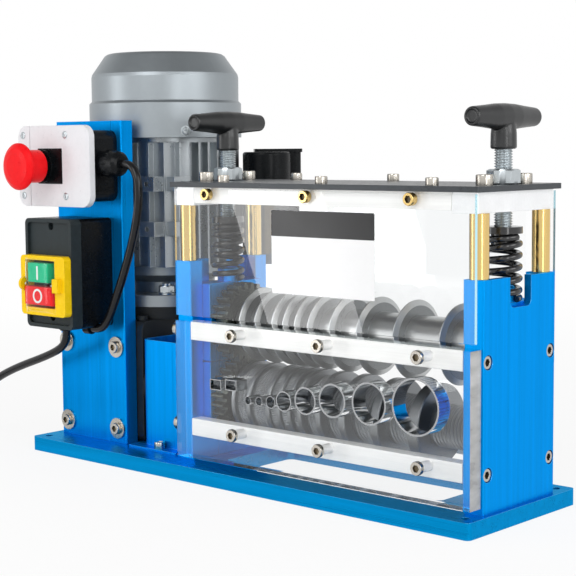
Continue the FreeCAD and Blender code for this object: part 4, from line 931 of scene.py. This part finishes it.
class MACHINE_OT_cap_screws(bpy.types.Operator):
    """Hexagon socket heads for every cap screw: knurled, but low and plain where the screws go in from
    the feed side
    """
    bl_idname = "machine.cap_screws"
    bl_label = "Cap screws"

    def execute(self, context):
        knurls = context.scene.machine_details.knurls
        for node in ("m8_cap_screws", "m6_cap_screws"):
            mesh = bmesh.new()
            for seat, way, reach in screw_seats(node):
                if sunk(seat, way):
                    seat += way * bore_depth
                    screw_piece(mesh, seat, way, sunk_size, reach - bore_depth, knurls)
                elif node == "m8_cap_screws" and way.y > 0.5:
                    screw_piece(mesh, seat, way, low_size, reach, plain_head, groove=1.0)
                else:
                    screw_piece(mesh, seat, way, screw_sizes[node], reach, knurls)
            piece = finish_mesh(node + "_knurled", mesh, 30)
            dress(piece, "frame", "screw_nickel", node, second="socket_steel")
        return {"FINISHED"}


class MACHINE_OT_block_sleeves(bpy.types.Operator):
    """Pale sleeves on the screws inside the guide block"""
    bl_idname = "machine.block_sleeves"
    bl_label = "Block sleeves"

    def execute(self, context):
        radius = 4.12
        foot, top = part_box("guide_block")
        mesh = bmesh.new()
        for seat, way, _ in screw_seats("m8_cap_screws"):
            if way.y > 0.5 and foot.x < seat.x < top.x:
                turned(mesh, [(radius, 0.1), (radius, (top.y - seat.y) / MM)], seat, Y, Z)
        dress(finish_mesh("block_sleeves", mesh), "frame", "aluminium_bar")
        return {"FINISHED"}


class MACHINE_OT_counterbores(bpy.types.Operator):
    """Counterbores in the open face of the right plate"""
    bl_idname = "machine.counterbores"
    bl_label = "Counterbores"

    def execute(self, context):
        bore = [(bore_radius + 1.1 * MM, -1 * MM), (bore_radius, 0.1 * MM), (bore_radius, bore_depth)]
        sharp_from = math.radians(8)
        cutter = bmesh.new()
        for seat, way, _ in screw_seats("m8_cap_screws"):
            if sunk(seat, way):
                turned(cutter, bore, seat, way, Z, 48, unit=1)
        tool = finish_mesh("counterbore_cutter", cutter)
        piece = bpy.data.objects.new("right_plate", nodes["side_plate_right"].data.copy())
        context.scene.collection.objects.link(piece)
        cut = piece.modifiers.new("Counterbores", "BOOLEAN")
        cut.operation = "DIFFERENCE"
        cut.solver = "EXACT"
        cut.object = tool
        applied(piece)
        piece.data.set_sharp_from_angle(angle=sharp_from)
        bpy.data.objects.remove(tool)
        piece.data.materials.clear()
        dress(piece, "frame", "anodised_upright", "side_plate_right")
        return {"FINISHED"}


class MACHINE_OT_brass_screws(bpy.types.Operator):
    """Brass socket screws that hold the covers"""
    bl_idname = "machine.brass_screws"
    bl_label = "Brass screws"

    def execute(self, context):
        mesh = bmesh.new()
        for seat, way, reach in screw_seats("cover_screws"):
            screw_piece(mesh, seat, way, screw_sizes["cover_screws"], reach, plain_head, groove=1.0)
        piece = finish_mesh("brass_screws", mesh, 30)
        dress(piece, "frame", "brass", "cover_screws", second="socket_steel")
        return {"FINISHED"}


def hex_nut(mesh, at, flats, tall, thread, stud=True):
    """An upright nut with chamfered corners, and the end of its stud if wanted."""
    count = 48

    def circle(radius, height):
        """A ring at a height in the nut."""
        return ring(count, radius, at + Z * height, Z, X)

    rings = [circle(flats / 2 * 0.97, 0), hexagon(count, flats, at + Z * tall * 0.10, Z, X),
             hexagon(count, flats, at + Z * tall * 0.90, Z, X), circle(flats / 2 * 0.97, tall),
             circle(thread * 1.1, tall), circle(thread * 0.95, tall - 0.4 * MM)]
    if stud:
        rings += [circle(thread * 0.95, tall + 2.0 * MM), circle(thread * 0.75, tall + 2.6 * MM)]
    else:
        rings += [circle(thread * 0.95, 0.4 * MM), circle(thread * 1.1, 0)]
    loft(mesh, rings, closed=not stud)


class MACHINE_OT_lock_nuts(bpy.types.Operator):
    """Chamfered nuts that lock the press screws"""
    bl_idname = "machine.lock_nuts"
    bl_label = "Lock nuts"

    def execute(self, context):
        mesh = bmesh.new()
        foot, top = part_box("lock_nuts")
        for side in sides:
            at = middle("press_screw_" + side)
            at.z = foot.z
            bore = (high("press_screw_" + side).x - low("press_screw_" + side).x) / 2
            hex_nut(mesh, at, top.y - foot.y, top.z - foot.z, bore, stud=False)
        dress(finish_mesh("chamfered_lock_nuts", mesh, 25), "frame", "zinc", "lock_nuts")
        return {"FINISHED"}


class MACHINE_OT_t_handles(bpy.types.Operator):
    """T-handles whose bar flows into its stem, with dished ends"""
    bl_idname = "machine.t_handles"
    bl_label = "T-handles"

    def execute(self, context):
        for side in sides:
            node = "t_handle_" + side
            foot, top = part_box(node)
            half, thick = (top.y - foot.y) / 2, (top.x - foot.x) / 2
            axis, stem = middle(node), middle(node)
            axis.z, stem.z = top.z - thick, foot.z
            tip, rise = thick * 0.72, axis.z - foot.z
            bar = [(tip * 0.66, 2.2 * MM - half), (tip * 0.74, 0.3 * MM - half), (tip * 0.80, -half),
                   (tip, 1.2 * MM - half), (thick * 0.84, -half * 0.6), (thick * 0.96, -half * 0.3),
                   (thick, 0)]
            bar += [(radius, -along) for radius, along in reversed(bar[:-1])]
            mesh = bmesh.new()
            turned(mesh, bar, axis, Y, X, 64, unit=1)
            turned(mesh, [(thick - 1.2 * MM, 0), (thick, 1.0 * MM), (thick * 0.98, rise * 0.5),
                          (thick * 0.84, rise)], stem, Z, X, 64, unit=1)
            piece = finish_mesh("shaped_handle_" + side, mesh)
            skin = piece.modifiers.new("One skin", "REMESH")
            skin.mode = "VOXEL"
            skin.voxel_size = 0.6 * MM
            soften = piece.modifiers.new("Soften", "SMOOTH")
            soften.factor = 0.5
            soften.iterations = 6
            dress(applied(piece), "press_handle_" + side, "handle_moulding", node)
        return {"FINISHED"}


class MACHINE_OT_key_film(bpy.types.Operator):
    """Clear film over the keys, on two bright pins"""
    bl_idname = "machine.key_film"
    bl_label = "Key film"

    def execute(self, context):
        start = low("switch_box").x
        sunk_by, clear_of_keys, inset = 6.2 * MM, 1.4 * MM, 2.2 * MM
        face = low("switch_bezel").y + sunk_by
        peak = min(low("start_button").y, low("stop_button").y, face) - clear_of_keys
        left, right = start + 9.4 * MM, start + 50.8 * MM
        foot, top = low("switch_bezel").z + inset, high("switch_bezel").z - inset
        thick, into_bezel, squares = 0.35 * MM, 0.02 * MM, 24
        count = range(squares)

        def place(u, v, layer):
            """A point of the film, which bulges over the keys."""
            bulge = (1 - abs(u) ** 6) * (1 - abs(v) ** 8)
            return (left + (right - left) * (u + 1) / 2,
                    face - into_bezel - layer + (peak - face) * bulge,
                    foot + (top - foot) * (v + 1) / 2)

        mesh = bmesh.new()
        at = [i / squares * 2 - 1 for i in range(squares + 1)]
        back, front = ([[mesh.verts.new(place(u, v, layer)) for u in at] for v in at]
                       for layer in (0, thick))
        for sheet in (back, front):
            for i in count:
                for j in count:
                    mesh.faces.new((sheet[i][j], sheet[i][j + 1], sheet[i + 1][j + 1], sheet[i + 1][j]))
        rim = [(0, j) for j in count] + [(i, squares) for i in count]
        rim += [(squares, squares - j) for j in count] + [(squares - i, 0) for i in count]
        for (i, j), (m, n) in zip(rim, rim[1:] + rim[:1]):
            mesh.faces.new((back[i][j], back[m][n], front[m][n], front[i][j]))
        dress(finish_mesh("key_film", mesh, 50), "frame", "clear_film")

        mesh = bmesh.new()
        between_keys = 161.0 * MM
        turned(mesh, [(1.9, 0), (1.9, 0.9), (1.3, 1.6), (0.5, 1.8)],
               Vector((start + 8.9 * MM, face, between_keys)), X, Z, 24)
        turned(mesh, [(1.5, 0), (1.5, 3.2), (1.1, 3.8)],
               Vector((start + 51.8 * MM, face - 2.2 * MM, between_keys)), -X, Z, 24)
        dress(finish_mesh("film_pins", mesh), "frame", "screw_nickel")
        return {"FINISHED"}


class MACHINE_OT_sawn_end(bpy.types.Operator):
    """Frosted saw cut at the open end of the guide block"""
    bl_idname = "machine.sawn_end"
    bl_label = "Sawn end"

    def execute(self, context):
        foot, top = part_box("guide_block")
        rings = []
        for proud, inset in ((-0.3, 0.5), (0.05, 0.5), (0.12, 0.7)):
            y0, y1 = foot.y + inset * MM, top.y - inset * MM
            z0, z1 = foot.z + inset * MM, top.z - inset * MM
            rings.append([Vector((top.x + proud * MM, y, z))
                          for y, z in ((y0, z0), (y1, z0), (y1, z1), (y0, z1))])
        mesh = bmesh.new()
        loft(mesh, rings)
        dress(finish_mesh("sawn_end", mesh, 30), "frame", "sawn_acrylic")
        return {"FINISHED"}


class MACHINE_OT_gland_ribs(bpy.types.Operator):
    """Gripping ribs round the stop box's cable gland"""
    bl_idname = "machine.gland_ribs"
    bl_label = "Gland ribs"

    def execute(self, context):
        centre = Vector((high("estop_box").x, middle("link_cable").y, link_points[0][1] * MM))
        count = 14
        mesh = bmesh.new()
        for i in range(count):
            angle = 2 * math.pi * i / count
            way = Vector((0, math.cos(angle), math.sin(angle)))
            across = X.cross(way)
            rings = []
            for along, radius in ((7.6, 11.6), (8.2, 12.35), (14.4, 12.35), (15.6, 11.6)):
                at = centre + X * along * MM + way * radius * MM
                rings.append([at + across * s * MM + way * d * MM
                              for s, d in ((-1.1, -0.6), (1.1, -0.6), (0.6, 0.25), (-0.6, 0.25))])
            loft(mesh, rings)
        dress(finish_mesh("gland_ribs", mesh, 30), "frame", "black_moulding")
        return {"FINISHED"}


class MACHINE_OT_springs(bpy.types.Operator):
    """Wound press springs between the carriage, the frame and the collars, in place of the plain ones"""
    bl_idname = "machine.springs"
    bl_label = "Springs"

    def execute(self, context):
        for side in sides:
            node = "spring_" + side
            foot, top = middle("collar_" + side), middle("collar_" + side)
            foot.z, top.z = low(node).z, high(node).z
            radius = (high(node).x - low(node).x) / 2
            split = foot.lerp(top, 1 / 3)
            lower, upper = wound_spring(node, foot, top.z, radius, split.z)
            for piece in (lower, upper):
                piece.data.materials.append(materials["spring_enamel"])
            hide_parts(node)
            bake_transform(lower)
            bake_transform(upper)
        return {"FINISHED"}


def wound_spring(name, foot, top, radius, split):
    """A spring with closed ends, in two lengths of wire that meet at a height."""
    wire, turns, closed = 2.5 * MM, 6, 5.5 * MM
    per_turn, count = 40, 20
    free = (top - foot.z - 2 * wire - 2 * closed) / (turns - 2)
    lower, upper = [], []
    for i in range(turns * per_turn + 1):
        turn = i / per_turn
        at_end = min(turn, 1) + max(turn - turns + 1, 0)
        rise = wire + closed * at_end + free * min(max(turn - 1, 0), turns - 2)
        slope = (free if 1 < turn < turns - 1 else closed) / (2 * math.pi * (radius - wire))
        angle = 2 * math.pi * turn
        side = Vector((math.cos(angle), math.sin(angle), 0))
        way = Vector((-side.y, side.x, slope)).normalized()
        points = ring(count, wire, foot + side * (radius - wire) + Z * rise, way, side)
        if foot.z + rise <= split:
            lower.append(points)
            upper = [points]
        else:
            upper.append(points)
    pieces = []
    for label, rings in (("_lower", lower), ("_upper", upper)):
        mesh = bmesh.new()
        loft(mesh, rings)
        pieces.append(finish_mesh(name + label, mesh, 50))
    return pieces


class MACHINE_OT_press_threads(bpy.types.Operator):
    """Threaded press screws in place of the plain ones"""
    bl_idname = "machine.press_threads"
    bl_label = "Press screw threads"

    def execute(self, context):
        pitch = context.scene.machine_details.thread_pitch
        depth, root_flat, flank = 0.61 * pitch, 0.12, 0.72
        per_turn, count = 10, 40
        for side in sides:
            node = "press_screw_" + side
            foot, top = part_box(node)
            major = (top.x - foot.x) / 2
            rows = int((top.z - foot.z) / pitch * per_turn)
            rings = []
            for row in range(rows + 1):
                at = middle(node)
                at.z = foot.z + (top.z - foot.z) * row / rows
                depth_here = min(1, min(row, rows - row) / per_turn)

                def radius(angle):
                    """The thread's radius, which fades out at both ends."""
                    share = (at.z / pitch - angle / (2 * math.pi)) % 1
                    crest = min(max((abs(share - 0.5) * 2 - root_flat) / flank, 0), 1)
                    return major - depth + depth * crest * depth_here

                rings.append(around(count, at, Z, X, radius))
            mesh = bmesh.new()
            loft(mesh, rings)
            piece = finish_mesh("threaded_screw_" + side, mesh, 80)
            dress(piece, "press_handle_" + side, "zinc", node)
        return {"FINISHED"}


class MACHINE_OT_label_plate(bpy.types.Operator):
    """Bare plate on the front cover: pale, with a plain dark band"""
    bl_idname = "machine.label_plate"
    bl_label = "Label plate"

    def execute(self, context):
        sizes = context.scene.machine_details
        face = low("front_cover").y
        left, foot, band = 43.5 * MM, 165.3 * MM, 211.5 * MM
        right, top = left + sizes.label_width, foot + sizes.label_height
        plate, ink, corner = face - 0.25 * MM, face - 0.35 * MM, 1.0 * MM
        for name, finish, z, front, back in (("label_plate", "label_film", foot, plate, face),
                                             ("label_band", "label_ink", band, ink, plate)):
            mesh = bmesh.new()
            slab(mesh, left, right, z, top, front, back, corner)
            dress(finish_mesh(name, mesh), "frame", finish)
        return {"FINISHED"}


class MACHINE_OT_key_marks(bpy.types.Operator):
    """The usual on and off marks of the two keys"""
    bl_idname = "machine.key_marks"
    bl_label = "Key marks"

    def execute(self, context):
        proud, buried, corner = 0.3 * MM, 0.4 * MM, 0.4 * MM
        half_wide, half_tall = 1.1 * MM, 6.2 * MM
        start = middle("start_button")
        front = low("start_button").y
        mesh = bmesh.new()
        slab(mesh, start.x - half_wide, start.x + half_wide, start.z - half_tall, start.z + half_tall,
             front - proud, front + buried, corner)
        dress(finish_mesh("start_mark", mesh), "start_key", "mark_white")
        stop = middle("stop_button")
        stop.y = low("stop_button").y
        outer, inner = 6.5 * MM, 4.6 * MM
        mesh = bmesh.new()
        loft(mesh, [ring(48, radius, stop + Y * depth, -Y, X) for radius, depth in (
            (outer, buried), (outer, -proud), (inner, -proud), (inner, buried))], closed=True)
        dress(finish_mesh("stop_mark", mesh), "stop_key", "mark_white")
        return {"FINISHED"}


class MACHINE_OT_lid_screws(bpy.types.Operator):
    """Four cross-recessed screws in the stop box's lid"""
    bl_idname = "machine.lid_screws"
    bl_label = "Lid screws"

    def execute(self, context):
        face = low("estop_lid").y
        mesh = bmesh.new()
        for x in (-246.5, -186.5):
            for z in (240.0, 295.0):
                cross_screw(mesh, Vector((x * MM, face, z * MM)), radius=3.3 * MM, tall=0.9 * MM)
        dress(finish_mesh("lid_screws", mesh, 30), "frame", "zinc")
        return {"FINISHED"}


def cross_screw(mesh, seat, radius, tall):
    """A pan head that faces the feed side, with a cross cut into it."""
    count, turn = 48, math.radians(20)
    out = -Y

    def circle(size, height):
        """A ring at a height above the seat."""
        return ring(count, radius * size, seat + out * height, out, X, turn)

    def cross(height, size):
        """Points round a cross, one for each point of a ring."""
        arm, slot = radius * 0.62 * size, radius * 0.17 * size

        def reach(angle):
            """Distance to the cross's outline at that angle."""
            near = (angle + math.pi / 4) % (math.pi / 2) - math.pi / 4
            side = slot / max(abs(math.sin(near)), 1e-6)
            return max(min(arm / max(math.cos(near), 1e-6), side), slot)

        return around(count, seat + out * height, out, X, reach, turn)

    loft(mesh, [circle(1, -0.3 * MM), circle(1, tall * 0.45), circle(0.86, tall * 0.85),
                circle(0.7, tall), cross(tall, 1.0), cross(tall - 0.5 * MM, 0.8),
                cross(tall - 1.1 * MM, 0.3)])


class MACHINE_OT_stop_plate(bpy.types.Operator):
    """Bare black square behind the stop knob"""
    bl_idname = "machine.stop_plate"
    bl_label = "Stop plate"

    def execute(self, context):
        face = low("estop_lid").y
        left, right, foot, top = (value * MM for value in (-225.0, -191.0, 251.0, 283.0))
        thick, corner = 0.6 * MM, 0.8 * MM
        mesh = bmesh.new()
        slab(mesh, left, right, foot, top, face - thick, face, corner, edge=0.2 * MM)
        dress(finish_mesh("stop_plate", mesh), "frame", "black_moulding")
        return {"FINISHED"}


class MACHINE_OT_flange_nuts(bpy.types.Operator):
    """Hexagon nuts on studs that hold the motor's flange"""
    bl_idname = "machine.flange_nuts"
    bl_label = "Flange nuts"

    def execute(self, context):
        centre = middle("fan_cowl")
        centre.z = high("motor_flange").z
        stud_circle, washer = 61 * MM, 1.5
        mesh = bmesh.new()
        for at in ring(4, stud_circle, centre, Z, X, math.radians(45)):
            turned(mesh, [(8, 0), (8, 1.2), (7.6, washer), (4, washer)], at, Z, X, 36)
            hex_nut(mesh, at + Z * washer * MM, flats=13 * MM, tall=6.5 * MM, thread=4 * MM)
        dress(finish_mesh("flange_nuts", mesh, 25), "frame", "zinc")
        return {"FINISHED"}


class MACHINE_OT_cowl_screws(bpy.types.Operator):
    """Screws that hold the fan cowl"""
    bl_idname = "machine.cowl_screws"
    bl_label = "Cowl screws"

    def execute(self, context):
        above_edge, buried, first = 6.0 * MM, 0.2 * MM, math.radians(-28.8)
        centre = middle("fan_cowl")
        centre.z = low("fan_cowl").z + above_edge
        radius = (high("fan_cowl").x - low("fan_cowl").x) / 2
        mesh = bmesh.new()
        for at in ring(4, radius - buried, centre, Z, X, first):
            way = (at - centre).normalized()
            turned(mesh, [(4.6, 0), (4.6, 0.7), (3.4, 0.8)], at, way, Z)
            turned(mesh, [(3.5, 0.8), (3.5, 2.2), (2.8, 3.0), (1.4, 3.1), (1.0, 2.2)], at, way, Z)
        dress(finish_mesh("cowl_screws", mesh, 30), "frame", "zinc")
        return {"FINISHED"}


# Studio

# Name, place, width, height, power and roll in degrees of each lamp
lamps = [
    ("key_light", (0.5, -2.0, 1.5), 1.3, 1.3, 18, 0),
    ("side_light", (2.3, 0.2, 1.0), 1.2, 1.2, 15, 0),
    ("side_strip", (1.9, -0.9, 0.5), 0.22, 1.5, 8, 0),
    ("cover_strip", (-0.58, -0.78, 0.11), 0.13, 1.0, 1.9, 16),
]


class MACHINE_OT_stage(bpy.types.Operator):
    """Pale floor and soft studio light"""
    bl_idname = "machine.stage"
    bl_label = "Stage"

    def execute(self, context):
        half = 6
        mesh = bmesh.new()
        mesh.faces.new([mesh.verts.new((x * half, y * half, 0))
                        for x, y in ((-1, -1), (1, -1), (1, 1), (-1, 1))])
        floor = finish_mesh("floor", mesh)
        floor.data.materials.append(floor_material())
        studio_world(context.scene, context.scene.machine_stage.daylight)
        for name, place, wide, tall, power, roll in lamps:
            soft_lamp(name, Vector(place), wide, tall, power, math.radians(roll))
        return {"FINISHED"}


def soft_lamp(name, place, wide, tall, power, roll):
    """A soft light that faces the guide block."""
    data = bpy.data.lights.new(name, "AREA")
    data.shape = "RECTANGLE"
    data.size = wide
    data.size_y = tall
    data.energy = power
    lamp = bpy.data.objects.new(name, data)
    lamp.location = place
    turn = (middle("guide_block") - place).to_track_quat("-Z", "Y").to_matrix()
    lamp.rotation_euler = (turn @ Matrix.Rotation(roll, 3, "Z")).to_euler()
    bpy.context.scene.collection.objects.link(lamp)


def seen_directly(tree):
    """A value that is 1 for what the eye, gloss and glass see."""
    rays = put(tree, "LightPath").outputs
    first = work_out(tree, "MAXIMUM", rays["Is Camera Ray"], rays["Is Glossy Ray"])
    return work_out(tree, "MAXIMUM", first, rays["Is Transmission Ray"])


def floor_material():
    """Pale floor that keeps the machine's shadow."""
    made, tree, shader = new_material("Pale floor")
    feed(tree, shader, {"Base Color": (0.92, 0.92, 0.92, 1), "Roughness": 0.8,
                        "Specular IOR Level": 0.1})
    distance = vector_sum(tree, "LENGTH", place_in(tree), label="Distance", result="Value")
    backdrop = spread(tree, "All backdrop far away", distance, {
        "From Min": 0.35, "From Max": 1.6, "To Min": 0.86, "To Max": 1.0},
        interpolation_type="SMOOTHSTEP")
    share = work_out(tree, "MULTIPLY", seen_directly(tree), backdrop,
                     label="How much of it is backdrop")
    glow = put(tree, "Emission")
    mix_shaders(tree, share, shader.outputs["BSDF"], glow.outputs["Emission"], "Material Output")
    return made


def studio_world(scene, level):
    """White where it is seen, plain soft light where it only lights."""
    world = bpy.data.worlds.new("Studio")
    world.use_nodes = True
    scene.world = world
    tree = world.node_tree
    light = tree.nodes["Background"]
    feed(tree, light, {"Color": (1, 1, 1, 1), "Strength": level})
    dusk = spread(tree, "Darker overhead", apart(tree, place_in(tree, "Generated"))["Z"], {
        "From Min": 0.30, "From Max": 0.85, "To Min": 1.0, "To Max": 0.35},
        interpolation_type="SMOOTHSTEP")
    white = put(tree, "Background", "", {"Color": (1, 1, 1, 1), "Strength": dusk})
    mix_shaders(tree, seen_directly(tree), light.outputs["Background"],
                white.outputs["Background"], "World Output")


class MACHINE_PT_panel(bpy.types.Panel):
    """Sizes, colours and steps of the machine"""
    bl_idname = "MACHINE_PT_panel"
    bl_label = "Wire stripping machine"
    bl_space_type = "VIEW_3D"
    bl_region_type = "UI"
    bl_category = "Machine"

    def draw(self, context):
        layout = self.layout
        for group_name in settings_groups:
            settings = getattr(context.scene, group_name)
            for name in settings.bl_rna.properties.keys():
                if name not in {"name", "rna_type"}:
                    layout.prop(settings, name)
        for step in steps:
            layout.operator(step.bl_idname)


steps = [
    MACHINE_OT_camera,
    MACHINE_OT_finishes,
    MACHINE_OT_link_cable,
    MACHINE_OT_mains_lead,
    MACHINE_OT_cap_screws,
    MACHINE_OT_block_sleeves,
    MACHINE_OT_counterbores,
    MACHINE_OT_brass_screws,
    MACHINE_OT_lock_nuts,
    MACHINE_OT_t_handles,
    MACHINE_OT_key_film,
    MACHINE_OT_sawn_end,
    MACHINE_OT_gland_ribs,
    MACHINE_OT_springs,
    MACHINE_OT_press_threads,
    MACHINE_OT_label_plate,
    MACHINE_OT_key_marks,
    MACHINE_OT_lid_screws,
    MACHINE_OT_stop_plate,
    MACHINE_OT_flange_nuts,
    MACHINE_OT_cowl_screws,
    MACHINE_OT_stage,
]
settings_groups = {
    "machine_finish": MACHINE_PG_finish,
    "machine_cords": MACHINE_PG_cords,
    "machine_details": MACHINE_PG_details,
    "machine_stage": MACHINE_PG_stage,
}


def register():
    """Add the settings, the operators and the panel."""
    for name, settings in settings_groups.items():
        bpy.utils.register_class(settings)
        setattr(bpy.types.Scene, name, PointerProperty(type=settings))
    for step in steps:
        bpy.utils.register_class(step)
    bpy.utils.register_class(MACHINE_PT_panel)


def unregister():
    """Take them out again."""
    bpy.utils.unregister_class(MACHINE_PT_panel)
    for step in reversed(steps):
        bpy.utils.unregister_class(step)
    for name, settings in settings_groups.items():
        delattr(bpy.types.Scene, name)
        bpy.utils.unregister_class(settings)


def main():
    """Build everything in order."""
    register()
    bpy.context.scene.view_settings.view_transform = "Standard"
    for step in steps:
        getattr(bpy.ops.machine, step.bl_idname.split(".")[1])()


if __name__ == "__main__":
    main()
